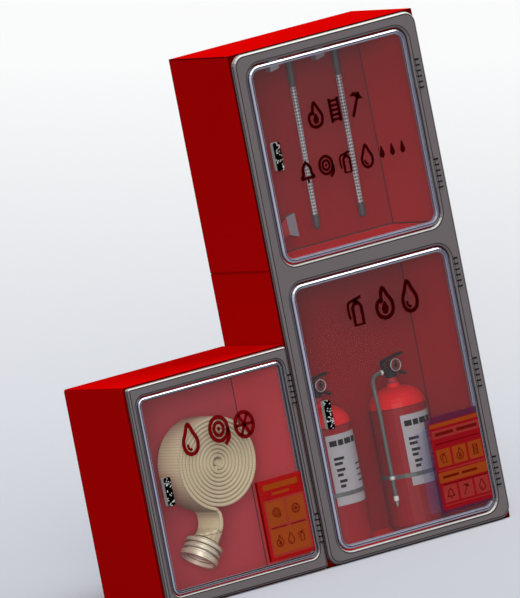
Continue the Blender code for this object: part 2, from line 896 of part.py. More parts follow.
def hose_tail():
    """The coil's loose end: flat where it leaves the coil, round where it meets the coupling."""
    radius = coil_eye + coil_pitch * coil_turns + coil_band / 2
    start = Vector((radius * math.cos(coil_end), radius * math.sin(coil_end)))
    tangent = Vector((-math.sin(coil_end), math.cos(coil_end)))
    route = [start + run * tangent for run in (seat, 5 * mm, 10 * mm)]
    route += [Vector((x * mm, z * mm)) for x, z in tail_route]
    route = [Vector((spot.x, 0, spot.y)) for spot in route]
    path = smooth_route(route, 2)
    middle = Vector((coil_x, (coil_face + coil_rear) / 2, coil_z))
    flat_part = len(path) - 1 - tail_loft_steps
    made = bmesh.new()
    rings = []
    for index, spot in enumerate(path):
        before = path[max(index - 1, 0)]
        after = path[min(index + 1, len(path) - 1)]
        ahead = (after - before).normalized()
        aside = Vector((ahead.z, 0, -ahead.x))
        share = max(0, (index - flat_part) / tail_loft_steps)
        half_width = hose_flat_width / 2 + share * (tail_radius - hose_flat_width / 2)
        half_thick = coil_band / 2 + share * (tail_radius - coil_band / 2)
        power = 0.25 + 0.75 * share
        ring = []
        for step in range(tail_sides):
            angle = 2 * math.pi * step / tail_sides
            c, s = math.cos(angle), math.sin(angle)
            across = half_width * math.copysign(abs(c) ** power, c)
            through = half_thick * math.copysign(abs(s) ** power, s)
            ring.append(made.verts.new(middle + spot + Vector((0, across, 0)) + through * aside))
        rings.append(ring)
    for first, second in zip(rings, rings[1:]):
        for step in range(tail_sides):
            after = (step + 1) % tail_sides
            made.faces.new((first[step], first[after], second[after], second[step]))
    made.faces.new(rings[0][::-1])
    made.faces.new(rings[-1])
    bmesh.ops.recalc_face_normals(made, faces=made.faces)
    data = bpy.data.meshes.new("hose_tail")
    made.to_mesh(data)
    made.free()
    smooth(data)
    place("hose_tail", data, hose_canvas)
    return middle + path[-1], (path[-1] - path[-2]).normalized()


def hose_coupling(start, ahead):
    """A ringed swivel coupling, turned about the tail's own direction."""
    rings = [(0, 0), (coupling_radius - 14 * mm, 0)]
    for low, high, radius in coupling_rings:
        rings += [(coupling_radius - 8 * mm, low), (radius, low + 2 * mm), (radius, high - 2 * mm),
                  (coupling_radius - 8 * mm, high)]
    rings += [(coupling_bore, coupling_length), (coupling_bore, coupling_length - 30 * mm),
              (0, coupling_length - 30 * mm)]
    profile = [(radius, -along) for radius, along in rings]
    made = turned("hose_coupling", profile, start + seat * ahead, coupling_metal, steps=32)
    made.rotation_euler = (-ahead).to_track_quat("Z", "Y").to_euler()


carcass()
tray()
frames()
for compartment, details in compartments.items():
    door(compartment, details)
for index in range(2):
    side = (index - 0.5) * extinguisher_spacing
    extinguisher(index + 1, (column_left + column_right) / 2 + side)
axe(1, axe_x(1), flipped_height, True)
axe(2, axe_x(2), head_height, False)
axe(3, axe_x(3), head_height, False)
axe_rack()
hose_coil()
hose_coupling(*hose_tail())
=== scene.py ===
import json
import math

import bmesh
import bpy
from mathutils import Matrix, Vector


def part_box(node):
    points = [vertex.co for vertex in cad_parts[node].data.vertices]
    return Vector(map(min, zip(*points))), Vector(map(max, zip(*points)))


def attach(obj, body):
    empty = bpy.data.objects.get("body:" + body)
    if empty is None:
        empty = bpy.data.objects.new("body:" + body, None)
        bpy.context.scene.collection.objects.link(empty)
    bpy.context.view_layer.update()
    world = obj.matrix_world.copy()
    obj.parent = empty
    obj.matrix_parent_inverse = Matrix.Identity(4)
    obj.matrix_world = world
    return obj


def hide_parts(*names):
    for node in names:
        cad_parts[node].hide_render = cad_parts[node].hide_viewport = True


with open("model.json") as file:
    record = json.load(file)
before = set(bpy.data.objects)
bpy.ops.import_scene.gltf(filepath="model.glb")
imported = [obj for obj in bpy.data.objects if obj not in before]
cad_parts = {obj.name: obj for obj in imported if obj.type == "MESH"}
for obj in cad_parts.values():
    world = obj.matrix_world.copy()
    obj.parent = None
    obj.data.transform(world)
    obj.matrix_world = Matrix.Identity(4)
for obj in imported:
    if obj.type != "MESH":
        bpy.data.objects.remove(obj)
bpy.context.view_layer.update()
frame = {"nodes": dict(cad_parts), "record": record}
nodes = frame["nodes"]

# places on the cabinet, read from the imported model
mm = 0.001
doors = ("upper", "lower", "hose")
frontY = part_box("upper_left_panel")[0].y
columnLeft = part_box("upper_left_panel")[0].x
glassBox = {door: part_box(door + "_door_pane") for door in doors}
rimBox = {door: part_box(door + "_door_rim") for door in doors}
rimRight = {door: glassBox[door][1].x + glassBox[door][0].x - rimBox[door][0].x for door in doors}
hinges = sorted(name for name in nodes if "_hinge_" in name)
print("cabinet: frame loaded")


# shader helpers
class Value:
    # a number on a wire, so that a mask is written as a sum
    def __init__(self, paint, socket):
        self.paint = paint
        self.socket = socket

    def maths(self, operation, first, second, clamp=False):
        return self.paint.node("Math", {"operation": operation, "use_clamp": clamp},
                               {0: first, 1: second})

    def __add__(self, other):
        return self.maths("ADD", self, other)

    def __sub__(self, other):
        return self.maths("SUBTRACT", self, other)

    def __rsub__(self, other):
        return self.maths("SUBTRACT", other, self)

    def __mul__(self, other):
        return self.maths("MULTIPLY", self, other)

    def __truediv__(self, other):
        return self.maths("DIVIDE", self, other)

    def __pow__(self, other):
        return self.maths("POWER", self, other)

    __radd__ = __add__
    __rmul__ = __mul__

    def over(self, edge):
        return self.maths("GREATER_THAN", self, edge)

    def under(self, edge):
        return self.maths("LESS_THAN", self, edge)

    def near(self, centre, reach):
        return self.paint.node("Math", {"operation": "COMPARE"}, {0: self, 1: centre, 2: reach})

    def within(self, low, high):
        return self.over(low) * self.under(high)

    def size(self):
        return self.maths("ABSOLUTE", self, 0)

    def wave(self):
        return self.maths("SINE", self, 0)

    def most(self, other):
        return self.maths("MAXIMUM", self, other)

    def clipped(self):
        return self.maths("ADD", self, 0, clamp=True)

    def bearing(self, other):
        return self.maths("ARCTAN2", self, other)


class Graph:
    # the nodes of one material or of the sky
    def __init__(self, tree):
        self.nodes = tree.nodes
        self.links = tree.links

    def node(self, kind, settings=None, sockets=None, out=0):
        made = self.nodes.new("ShaderNode" + kind)
        for key, value in (settings or {}).items():
            if key == "stops":
                for element, (spot, shade) in zip(made.color_ramp.elements, value):
                    element.position = spot
                    element.color = (shade, shade, shade, 1)
            else:
                setattr(made, key, value)
        for key, value in (sockets or {}).items():
            self.feed(made.inputs[key], value)
        return Value(self, made.outputs[out])

    def feed(self, socket, value):
        if isinstance(value, Value):
            self.links.new(value.socket, socket)
        elif isinstance(value, tuple) and socket.type == "RGBA":
            socket.default_value = (*value, 1)
        else:
            socket.default_value = value

    def place(self):
        return self.node("TexCoord", out="Object")

    def axis(self, letter, where=None):
        return self.node("SeparateXYZ", {}, {0: where or self.place()}, "XYZ".index(letter))

    def facing(self, rounded=False):
        return self.node("NewGeometry", out="Normal" if rounded else "True Normal")

    def vectors(self, operation, first, second, out="Value"):
        return self.node("VectorMath", {"operation": operation}, {0: first, 1: second}, out)

    def fromSpot(self, spot):
        return self.vectors("SUBTRACT", self.place(), tuple(spot), "Vector")

    def stretched(self, scale):
        return self.node("Mapping", {}, {"Vector": self.place(), "Scale": scale})

    def noise(self, scale, detail=3, where=None):
        return self.node("TexNoise", {}, {"Vector": where or self.place(), "Scale": scale, "Detail": detail})

    def mix(self, share, first, second):
        return self.node("Mix", {"data_type": "RGBA"}, {0: share, 6: first, 7: second}, 2)

    def ramp(self, value, low, high):
        # from 0 to 1 between two values
        return self.node("ValToRGB", {"stops": [(low, 0.0), (high, 1.0)]}, {0: value})

    def seen(self):
        # what the camera sees, also in a mirror or through glass
        direct, mirrored, through = (self.node("LightPath", out=ray) for ray in (
            "Is Camera Ray", "Is Glossy Ray", "Is Transmission Ray"))
        return direct.most(mirrored).most(through)


class Paint(Graph):
    # one material and its shader
    def __init__(self, name, **constants):
        self.material = bpy.data.materials.new(name)
        self.material.use_nodes = True
        super().__init__(self.material.node_tree)
        self.shader = self.nodes["Principled BSDF"]
        for socket, value in constants.items():
            self.put(socket.replace("_", " "), value)

    def put(self, socket, value):
        self.feed(self.shader.inputs[socket], value)

    def bump(self, height, strength, distance):
        lifted = self.node("Bump", {}, {"Height": height, "Strength": strength, "Distance": distance})
        self.put("Normal", lifted)


def dark(colour, share):
    return tuple(part * share for part in colour)


def joined(names):
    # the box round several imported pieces
    lows, highs = zip(*(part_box(name) for name in names))
    return (Vector(min(low[i] for low in lows) for i in range(3)),
            Vector(max(high[i] for high in highs) for i in range(3)))


# painted sheet steel: one red with light and shade painted in by facing, pale on top and on floors, painted
# darker on the sides, the front flanges and the back wall, with dark lines of painted shade at the folds
coatAndPaintedShade = {"top": (0.76, 0.0006, 0.0006), "side": (0.39, 0.001, 0.001), "front": (0.10, 0.0006, 0.0006),
        "rear": (0.66, 0.001, 0.001),
        "floor": (0.95, 0.003, 0.005), "back": (0.30, 0.004, 0.006), "wall": (0.50, 0.005, 0.007),
        # the hose box's inside walls are painted paler than the other boxes'
        "hoseBack": (0.55, 0.06, 0.078), "hoseWall": (0.86, 0.07, 0.09),
        "fold": (0.012, 0.001, 0.001), "foldOutside": 2.0 * mm, "foldInside": 3.8 * mm,
        "foldShare": 0.9, "jointShare": 0.24, "jointReach": 8 * mm, "gloss": 0.6}
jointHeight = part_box("upper_left_panel")[0].z  # where the upper box stands on the lower one


def sheetPaint(name, low, high, back=coatAndPaintedShade["back"], wall=coatAndPaintedShade["wall"]):
    made = Paint(name, Specular_IOR_Level=0.0)
    half = (high - low) / 2
    away = made.fromSpot((low + high) / 2)
    inside = made.vectors("DOT_PRODUCT", away, made.facing()).under(0)
    level = made.axis("Z", made.facing()).size().over(0.5)
    sideways = made.axis("X", made.facing()).size().over(0.5)
    forward = made.axis("Y", made.facing()).under(-0.5)
    # a fold runs where a point is near the box's limit in two directions at once; it is painted dark, as
    # painted shade in the inner corners and a dark line along the outer edges
    foldWidth = coatAndPaintedShade["foldOutside"] + inside * (coatAndPaintedShade["foldInside"] - coatAndPaintedShade["foldOutside"])
    folds = sum((made.axis(letter, away).size() + foldWidth).over(half["XYZ".index(letter)])
                for letter in "XZY")
    joint = (1 - inside) * made.axis("Z").near(jointHeight, coatAndPaintedShade["jointReach"])
    cloud = made.ramp(made.noise(2.6, 4), 0.3, 0.7)
    # painted light and shade outside: the top, the sides, the back and the front flanges each take their own
    # shade of the one red
    outer = made.mix(sideways, made.mix(level, coatAndPaintedShade["rear"], coatAndPaintedShade["top"]), coatAndPaintedShade["side"])
    outer = made.mix(forward, outer, coatAndPaintedShade["front"])
    # painted shade inside: floors pale, back and side walls painted darker
    inner = made.mix(level, made.mix(sideways, back, wall), coatAndPaintedShade["floor"])
    # a random mottle of the paint, laid over the painted shade
    mottledAndShaded = made.mix(cloud * 0.06, made.mix(inside, outer, inner), dark(coatAndPaintedShade["side"], 0.6))
    share = folds.over(1.5) * (coatAndPaintedShade["foldShare"] - (coatAndPaintedShade["foldShare"] - coatAndPaintedShade["jointShare"]) * joint)
    made.put("Base Color", made.mix(share, mottledAndShaded, coatAndPaintedShade["fold"]))
    made.put("Roughness", coatAndPaintedShade["gloss"] + 0.12 * (made.noise(160.0, 2) - 0.5))
    made.bump(made.noise(420.0, 2), 0.015, 0.0002)
    return made.material


# extinguisher cylinders: plain enamel of one red with light painted in, paler on the domed top and darker on
# the side, with dark lines of painted shade where the top meets the body and at the foot
cylinderLook = {"side": (0.31, 0.006, 0.010), "dome": (0.76, 0.006, 0.009), "domeFrom": 401 * mm,
                "foot": 36 * mm, "line": 1.4 * mm, "gloss": 0.35}


def cylinderPaint():
    made = Paint("cylinderRed", Specular_IOR_Level=0.12)
    side, dome, domeFrom = (cylinderLook[key] for key in ("side", "dome", "domeFrom"))
    height = made.axis("Z")
    cloud = made.ramp(made.noise(9.0, 4), 0.3, 0.7)
    # painted light: the domed top takes the paler red, the side the darker one
    base = made.mix(height.over(domeFrom), made.mix(cloud, dark(side, 0.9), side), dome)
    # painted shade: dark lines at the top's edge and above the foot
    for edge in (domeFrom, cylinderLook["foot"]):
        base = made.mix(height.near(edge, cylinderLook["line"]), base, dark(side, 0.2))
    made.put("Base Color", base)
    made.put("Roughness", cylinderLook["gloss"] + 0.12 * (made.noise(260.0, 2) - 0.5))
    made.bump(made.noise(420.0, 2), 0.02, 0.0002)
    return made.material


def satinMetal(name, colour, gloss, metallic, strength=0.05, lines=(), zone=None, glint=None, shade=None):
    # lines are depths, low and high, where an edge shows a dark line of painted shade; zone is the x beyond
    # which it is duller;
    # glint is a highlight painted on the rounded edges that face up, shade is shade painted on those that
    # face right
    made = Paint(name, Specular_IOR_Level=0.3)
    streak = made.noise(60.0, 3, made.stretched((1.0, 1.0, 40.0)))
    base = made.mix(made.noise(5.0, 3), dark(colour, 0.9), colour)
    shine = metallic
    if zone is not None:
        beyond = made.axis("X").over(zone)
        base = made.mix(beyond, base, frameLook["colour"])
        shine = beyond * (frameLook["metallic"] - metallic) + metallic
    if glint:
        # painted highlight: rounded edges that face up take the glint colour
        upward = made.axis("Z", made.facing(rounded=True))
        base = made.mix(made.ramp(upward, 0.25, 0.6), base, glint)
    if shade:
        # painted shade: rounded edges that face right take the shade colour
        rightward = made.axis("X", made.facing(rounded=True))
        base = made.mix(made.ramp(rightward, 0.1, 0.4), base, shade)
    if lines:
        # painted shade: dark lines where the rounding starts and ends and in the gaps
        edges = sum(made.axis("Y").within(low, high) for low, high in lines)
        base = made.mix(edges, base, (0.004, 0.004, 0.004))
        shine = shine * (1 - edges)
    made.put("Base Color", base)
    made.put("Metallic", shine)
    made.put("Roughness", gloss + 0.16 * (streak - 0.5))
    made.bump(streak, strength, 0.0003)
    return made.material


def tintedGlass(name, colour, cover):
    made = Paint(name, Specular_IOR_Level=0.2)
    smear = made.noise(4.0, 4)
    made.put("Base Color", made.mix(smear, dark(colour, 0.85), colour))
    made.put("Roughness", 0.04 + 0.06 * smear)
    made.put("Alpha", cover * (0.9 + 0.2 * smear))
    return made.material


def plainFinish(name, colour, gloss, metallic=0.0, speckle=180.0, cover=1.0, shine=0.3):
    made = Paint(name, Metallic=metallic, Alpha=cover, Specular_IOR_Level=shine)
    grain = made.noise(speckle, 3)
    made.put("Base Color", made.mix(made.noise(14.0, 3), dark(colour, 0.82), colour))
    made.put("Roughness", gloss + 0.2 * (grain - 0.5))
    made.bump(grain, 0.08, 0.0004)
    return made.material


# front frames, door rims and their hinges
# the frames' glint is a painted highlight on rounded edges that face up
frameLook = {"colour": (0.125, 0.108, 0.113), "metallic": 0.15, "gloss": 0.5, "glint": (0.62, 0.60, 0.56),
             "fillet": {"column": 9 * mm, "hose": 7 * mm}}
# the rims' glint is a painted highlight and their shade is painted shade
rimLook = {"colour": (0.34, 0.34, 0.44), "metallic": 0.5, "gloss": 0.3, "glint": (0.80, 0.82, 0.90),
           "shade": (0.05, 0.046, 0.055), "paneRecess": 2 * mm}


def edgeLines(face, fillet, reach):
    # the depths where a front face starts to round and where the rounding ends, where dark lines of painted
    # shade run
    return [(face + 0.02 * mm, face + 0.8 * mm), (face + fillet - 1.5 * mm, face + fillet + reach)]


def frameMetal(kind):
    low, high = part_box(kind + "_front_frame")
    # a further dark line of painted shade where the frame meets the sheet behind it
    lines = edgeLines(low.y, frameLook["fillet"][kind], 1.2 * mm) + [(high.y - 2.4 * mm, high.y + mm)]
    return satinMetal(kind + "Frame", frameLook["colour"], frameLook["gloss"], frameLook["metallic"],
                      lines=lines, glint=frameLook["glint"])


def rimMetal(door):
    fillet = frameLook["fillet"]["hose" if door == "hose" else "column"]
    lines = edgeLines(glassBox[door][0].y - rimLook["paneRecess"], fillet, 2 * mm)
    return satinMetal(door + "Rim", rimLook["colour"], rimLook["gloss"], rimLook["metallic"],
                      lines=lines, zone=rimRight[door] + 0.2 * mm, glint=rimLook["glint"],
                      shade=rimLook["shade"])


# axes: dark collar and grip, knurled light shaft, red head with a bare cutting edge
axeLook = {"collar": 91 * mm, "grip": 46 * mm, "knurlsRound": 4, "knurlsUp": 310.0,
           "knurlWander": 1.4, "knurlEdge": (0.42, 0.5), "dark": (0.065, 0.067, 0.072),
           "shaft": (0.58, 0.60, 0.63), "red": (0.34, 0.004, 0.005), "steel": (0.26, 0.26, 0.29),
           # topSteel: the upper axes' steel is painted paler, as painted light
           "topSteel": 1.6, "bareFrom": 47 * mm}


def handleFinish(name, node, flipped):
    low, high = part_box(node)
    made = Paint(name, Specular_IOR_Level=0.3)
    height = made.axis("Z")
    foot, top = ("collar", "grip") if flipped else ("grip", "collar")
    bare = height.within(low.z + axeLook[foot], high.z - axeLook[top])
    # two crossing sets of grooves make the diamonds of the knurl
    away = made.fromSpot((low + high) / 2)
    turned = made.axis("X", away).bearing(made.axis("Y", away)) * axeLook["knurlsRound"]
    risen = height * axeLook["knurlsUp"] + axeLook["knurlWander"] * made.noise(40.0, 2)
    knurl = (turned + risen).wave() * (turned - risen).wave() * 0.5 + 0.5
    fleck = made.ramp(knurl, *axeLook["knurlEdge"])
    shaft = made.mix(fleck, dark(axeLook["shaft"], 0.08), axeLook["shaft"])
    made.put("Base Color", made.mix(bare, axeLook["dark"], shaft))
    made.put("Roughness", 0.5 + 0.2 * (made.noise(200.0, 2) - 0.5))
    made.bump(knurl * (0.2 + bare), 0.5, 0.0006)
    return made.material


def headFinish(name, middle, steelShade):
    made = Paint(name)
    aside = (made.axis("X") - middle).size()
    steel = aside.over(axeLook["bareFrom"])
    scratch = made.noise(90.0, 4, made.stretched((1.0, 1.0, 0.15)))
    edge = made.mix(scratch, dark(steelShade, 0.8), steelShade)
    made.put("Base Color", made.mix(steel, axeLook["red"], edge))
    made.put("Metallic", steel * 0.35)
    made.put("Roughness", 0.36 + 0.2 * (scratch - 0.5))
    made.bump(scratch, 0.08, 0.0004)
    return made.material


# door latches: a pale body with a black speckled front
latchLook = {"body": (0.30, 0.30, 0.285), "face": (0.001, 0.001, 0.001), "fleck": (0.50, 0.52, 0.50),
             "faceDepth": 3 * mm, "cell": 3.3 * mm, "bare": 0.85}


def latchFinish(door):
    made = Paint(door + "Latch", Specular_IOR_Level=0.0)
    front = made.axis("Y").under(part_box(door + "_door_latch")[0].y + latchLook["faceDepth"])
    cells = made.vectors("SNAP", made.stretched((1.0, 0.0, 1.0)), (latchLook["cell"],) * 3, "Vector")
    fleck = made.node("TexWhiteNoise", {}, {"Vector": cells})
    face = made.mix(fleck.over(latchLook["bare"]), latchLook["face"], latchLook["fleck"])
    made.put("Base Color", made.mix(front, latchLook["body"], face))
    made.put("Roughness", 0.45 + 0.1 * (made.noise(60.0, 1) - 0.5))
    made.bump(fleck * front, 0.4, 0.0006)
    return made.material


# canvas: beige weave with ribs that run along the coil's axis, painted darker in the grooves between its
# turns as painted shade;
# seams are the heights of the tail's sewn lines
# bright and under are the painted light and painted shade of the faces that look up and down
canvasLook = {"colour": (0.76, 0.61, 0.40), "bright": (0.94, 0.86, 0.56), "under": (0.36, 0.32, 0.22),
              "ribs": 100.0, "ribShade": 0.3, "grooveDepth": 7 * mm, "grooveShade": 0.55,
              "seams": (254.7 * mm, 186 * mm), "seamReach": 0.9 * mm}


def canvasFinish(name, seams=()):
    colour = canvasLook["colour"]
    made = Paint(name, Roughness=0.9, Specular_IOR_Level=0.05)
    away = made.fromSpot(sum(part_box("hose_peg"), start=Vector()) / 2)
    rib = (made.axis("Z", away).bearing(made.axis("X", away)) * canvasLook["ribs"]).wave()
    weave = made.noise(500.0, 2)
    woven = made.mix(made.noise(11.0, 4), dark(colour, 0.88), colour)
    # painted light: the band's outer faces are painted pale where they look up and painted dark where they
    # look down
    upward = made.ramp(made.axis("Z", made.facing()) * 0.5 + 0.5, 0.05, 0.55)
    edgewise = made.axis("Y", made.facing()).size().under(0.5)
    woven = made.mix(edgewise, woven, made.mix(upward, canvasLook["under"], canvasLook["bright"]))
    ribbed = made.mix((rib * 0.5 + 0.5) * canvasLook["ribShade"], woven, dark(colour, 0.5))
    # painted shade in the grooves between the coil's turns; the tail's seams take the same dark
    depth = (made.axis("Y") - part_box("hose_coil")[0].y) / canvasLook["grooveDepth"]
    groove = (made.ramp(depth, 0.3, 0.75) - made.ramp(depth, 0.98, 1.0)) * canvasLook["grooveShade"]
    for seam in seams:
        groove = groove.most(made.axis("Z").near(seam, canvasLook["seamReach"]))
    made.put("Base Color", made.mix(groove, ribbed, dark(colour, 0.25)))
    made.bump(rib * 0.5 + weave, 0.35, 0.0007)
    return made.material


# the hose's coupling: three rings and an open mouth with a ledge, its profile as (radius, along) in
# millimetres; creases are places along the axis, mouth lines are radii and their reaches beyond a place,
# both painted dark as painted shade; inside, the mouth is painted pale on the right and dark on the left as
# painted light
coupling = {"radius": 61 * mm, "length": 66 * mm, "colour": (0.74, 0.66, 0.50),
            "inside": (1.0, 0.93, 0.74), "insideLeft": (0.40, 0.33, 0.30), "insideReach": 53,
            "insideFrom": -6,
            "creases": (-26, -12, 7, 13), "creaseReach": 0.9, "creaseShare": 0.85,
            "mouthLines": ((31.2, ((54, 0.8), (59.6, 0.9))), (19.5, ((46, 0.8), (42, 0.7)))),
            "profile": ((0, -33), (44, -33), (47, -31), (47, -27), (57, -26), (60, -23), (60, -15), (57, -12),
                        (51, -11), (51, -7), (55, -6), (58, -4), (58, 3), (55, 6), (51, 7), (51, 12),
                        (58, 13), (61, 16), (61, 30), (59, 33), (54, 33), (52, 31), (52, 17), (46, 17),
                        (46, 22), (42, 22), (42, -5), (0, -5))}


def couplingAxis():
    # the box of a round body that lies in the x and z plane gives the slant of its axis
    low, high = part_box("hose_coupling")
    size, length, wide = high - low, coupling["length"], 2 * coupling["radius"]
    share = length * length - wide * wide
    across, up = (length * size.x - wide * size.z) / share, (length * size.z - wide * size.x) / share
    return (low + high) / 2, Vector((-across, 0, -up)).normalized()


def couplingFinish():
    made = Paint("couplingAlloy", Metallic=0.3)
    centre, axis = couplingAxis()
    away = made.fromSpot(centre)
    along = made.vectors("DOT_PRODUCT", away, tuple(axis))
    reach = (made.vectors("DOT_PRODUCT", away, away) - along * along) ** 0.5
    grain = made.noise(90.0, 3)
    # painted shade: dark lines in the creases between the rings and at the mouth's rings
    lines = sum(along.near(spot * mm, coupling["creaseReach"] * mm) for spot in coupling["creases"])
    for start, rings in coupling["mouthLines"]:
        lines = lines + along.over(start * mm) * sum(reach.near(ring * mm, wide * mm) for ring, wide in rings)
    base = made.mix(grain, dark(coupling["colour"], 0.9), coupling["colour"])
    # painted light: inside the mouth, pale where it faces right and dark where it faces left
    leftward = made.ramp(made.axis("X", made.facing()) * 0.5 + 0.5, 0.35, 0.65)
    mouth = reach.under(coupling["insideReach"] * mm) * along.over(coupling["insideFrom"] * mm)
    base = made.mix(mouth, base, made.mix(leftward, coupling["inside"], coupling["insideLeft"]))
    made.put("Base Color", made.mix(lines * coupling["creaseShare"], base, dark(coupling["colour"], 0.1)))
    made.put("Roughness", 0.42 + 0.16 * (grain - 0.5))
    made.bump(grain, 0.05, 0.0003)
    return made.material


# the extinguisher's own hose, with a pale ferrule above the nozzle's tip
nozzleLook = {"ferrule": 121 * mm, "ferruleTop": 136 * mm, "rubber": (0.12, 0.125, 0.12),
              "pale": (0.70, 0.70, 0.70), "tip": (0.30, 0.28, 0.28), "ridges": 1500.0,
              "tipLength": 18}  # in millimetres


def hoseRubber():
    made = Paint("hoseRubber", Specular_IOR_Level=0.35)
    height = made.axis("Z")
    ferrule = height.within(nozzleLook["ferrule"], nozzleLook["ferruleTop"])
    speck = made.noise(240.0, 3)
    base = made.mix(ferrule, nozzleLook["rubber"], nozzleLook["pale"])
    made.put("Base Color", made.mix(height.under(nozzleLook["ferrule"]), base, nozzleLook["tip"]))
    made.put("Roughness", 0.5 + 0.2 * (speck - 0.5))
    made.bump((height * nozzleLook["ridges"]).wave() * (1 - ferrule) * 0.3 + speck, 0.25, 0.0005)
    return made.material


def boxPaint(kind, *inner):
    low, high = joined(f"{kind}_{side}_panel" for side in ("left", "right", "back"))
    return sheetPaint(kind + "Paint", low, high, *inner)


boxPaints = {"upper": boxPaint("upper"), "lower": boxPaint("lower"),
             "hose": boxPaint("hose", coatAndPaintedShade["hoseBack"], coatAndPaintedShade["hoseWall"])}
frameMetals = {kind: frameMetal(kind) for kind in ("column", "hose")}
bySlot = {"tinted_glass": tintedGlass("tintedGlass", (0.17, 0.15, 0.16), 0.10),
          "bright_steel": satinMetal("hingeSteel", frameLook["colour"], 0.4, 0.3),
          "dark_plastic": hoseRubber(),
          "extinguisher_red": cylinderPaint(),
          "hose_canvas": canvasFinish("canvas"),
          "coupling_metal": couplingFinish()}
tailCanvas = canvasFinish("tailCanvas", canvasLook["seams"])
strapSteel = plainFinish("strapGrey", (0.13, 0.135, 0.13), 0.45, 0.2)


def axeFinish(name, slot):
    # the first axe hangs head down, and its steel is duller than the others', whose steel is painted paler as
    # painted light under the shade of the top frame
    first = name.startswith("axe_1")
    if slot == "shaft_grey":
        return handleFinish(name.replace("_", ""), name, first)
    low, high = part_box(name.replace("head", "handle"))
    steelShade = dark(axeLook["steel"], 1.0 if first else axeLook["topSteel"])
    return headFinish(name.replace("_", ""), (low.x + high.x) / 2, steelShade)


def finishFor(name, slot):
    kind = name.split("_")[0]
    if name == "hose_peg":
        return bySlot["hose_canvas"]
    if name == "hose_tail":
        return tailCanvas
    if name == "axe_rack":
        return sheetPaint("rackPaint", *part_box(name))
    if slot == "red_paint":
        return boxPaints[kind]
    if slot == "rim_metal":
        return rimMetal(kind)
    if slot in ("shaft_grey", "axe_red"):
        return axeFinish(name, slot)
    if slot == "frame_metal":
        return frameMetals[kind]
    if name.endswith("latch"):
        return latchFinish(kind)
    if name.endswith("strap"):
        return strapSteel
    return bySlot[slot]


slotOf = {part["node"]: part["material_slot"] for part in frame["record"]["subparts"]}
for name, made in nodes.items():
    for slot in made.material_slots:
        slot.material = finishFor(name, slotOf[name])
print("cabinet: finishes on the packed pieces")


# mesh helpers
def meshFrom(name, build):
    shape = bmesh.new()
    build(shape)
    bmesh.ops.recalc_face_normals(shape, faces=shape.faces)
    mesh = bpy.data.meshes.new(name)
    shape.to_mesh(mesh)
    shape.free()
    return mesh


def keep(name, build, finish, body="cabinet", angle=35):
    # a piece in the scene that moves with its body
    mesh = meshFrom(name, build)
    made = bpy.data.objects.new(name, mesh)
    bpy.context.scene.collection.objects.link(made)
    mesh.materials.append(finish)
    mesh.shade_smooth()
    mesh.set_sharp_from_angle(angle=math.radians(angle))
    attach(made, body)
    return made


def lifted(shape, faces, depth):
    # gives flat faces a thickness along y
    raised = bmesh.ops.extrude_face_region(shape, geom=faces)["geom"]
    bmesh.ops.translate(shape, vec=(0, depth, 0),
                        verts=[one for one in raised if isinstance(one, bmesh.types.BMVert)])


def band(shape, path, width, near, far, closed=False):
    # a flat band along a path in x and z, solid from one depth to another
    rows = []
    last = len(path) - 1
    for index, (x, z) in enumerate(path):
        before = path[index - 1] if closed or index else path[0]
        after = path[0 if closed and index == last else min(index + 1, last)]
        run = Vector((after[0] - before[0], after[1] - before[1])).normalized() * width / 2
        rows.append([shape.verts.new((x + way * run.y, near, z - way * run.x)) for way in (-1, 1)])
    pairs = list(zip(rows, rows[1:]))
    if closed:
        pairs.append((rows[-1], rows[0]))
    lifted(shape, [shape.faces.new((a[0], a[1], b[1], b[0])) for a, b in pairs], far - near)


def patch(shape, outline, near, far):
    # a filled outline in x and z, solid from one depth to another
    lifted(shape, [shape.faces.new([shape.verts.new((x, near, z)) for x, z in outline])], far - near)


def arc(x, z, radius, start, end, steps):
    # points on a circle in x and z, from one angle to another
    turns = [math.radians(start + (end - start) * step / steps) for step in range(steps + 1)]
    return [(x + radius * math.cos(turn), z + radius * math.sin(turn)) for turn in turns]


def softened(points, steps=4, closed=True):
    # a smooth line through the points, in any number of dimensions
    spots = [Vector(point) for point in points]
    count = len(spots)
    made = []
    for index in range(count if closed else count - 1):
        pick = [spots[(index + shift) % count] if closed else spots[min(max(index + shift, 0), count - 1)]
                for shift in (-1, 0, 1, 2)]
        for step in range(steps):
            t = step / steps
            made.append(0.5 * (2 * pick[1] + (pick[2] - pick[0]) * t
                               + (2 * pick[0] - 5 * pick[1] + 4 * pick[2] - pick[3]) * t * t
                               + (3 * pick[1] - pick[0] - 3 * pick[2] + pick[3]) * t ** 3))
    if not closed:
        made.append(spots[-1])
    return [tuple(spot) for spot in made]


def lathe(shape, profile, centre, axis, steps=28):
    # a profile of (radius, along) in millimetres, turned about an axis through the centre
    axis = Vector(axis).normalized()
    aside = axis.orthogonal().normalized()
    line = [shape.verts.new(Vector(centre) + aside * (radius * mm) + axis * (along * mm))
            for radius, along in profile]
    edges = [shape.edges.new(pair) for pair in zip(line, line[1:])]
    bmesh.ops.spin(shape, geom=line + edges, cent=centre, axis=axis, angle=2 * math.pi, steps=steps,
                   use_merge=True)
    bmesh.ops.remove_doubles(shape, verts=shape.verts, dist=1e-6)


def torus(shape, centre, axis, major, minor, sides=10):
    # a ring of round section, its radii in millimetres
    ring = [(major + minor * math.cos(turn), minor * math.sin(turn))
            for turn in (2 * math.pi * side / sides for side in range(sides + 1))]
    lathe(shape, ring, centre, axis)


def skin(shape, rows):
    # faces between rows of points, each row a closed ring, with both ends filled
    for first, second in zip(rows, rows[1:]):
        for side in range(len(first)):
            after = (side + 1) % len(first)
            shape.faces.new((first[side], first[after], second[after], second[side]))
    shape.faces.new(rows[0][::-1])
    shape.faces.new(rows[-1])


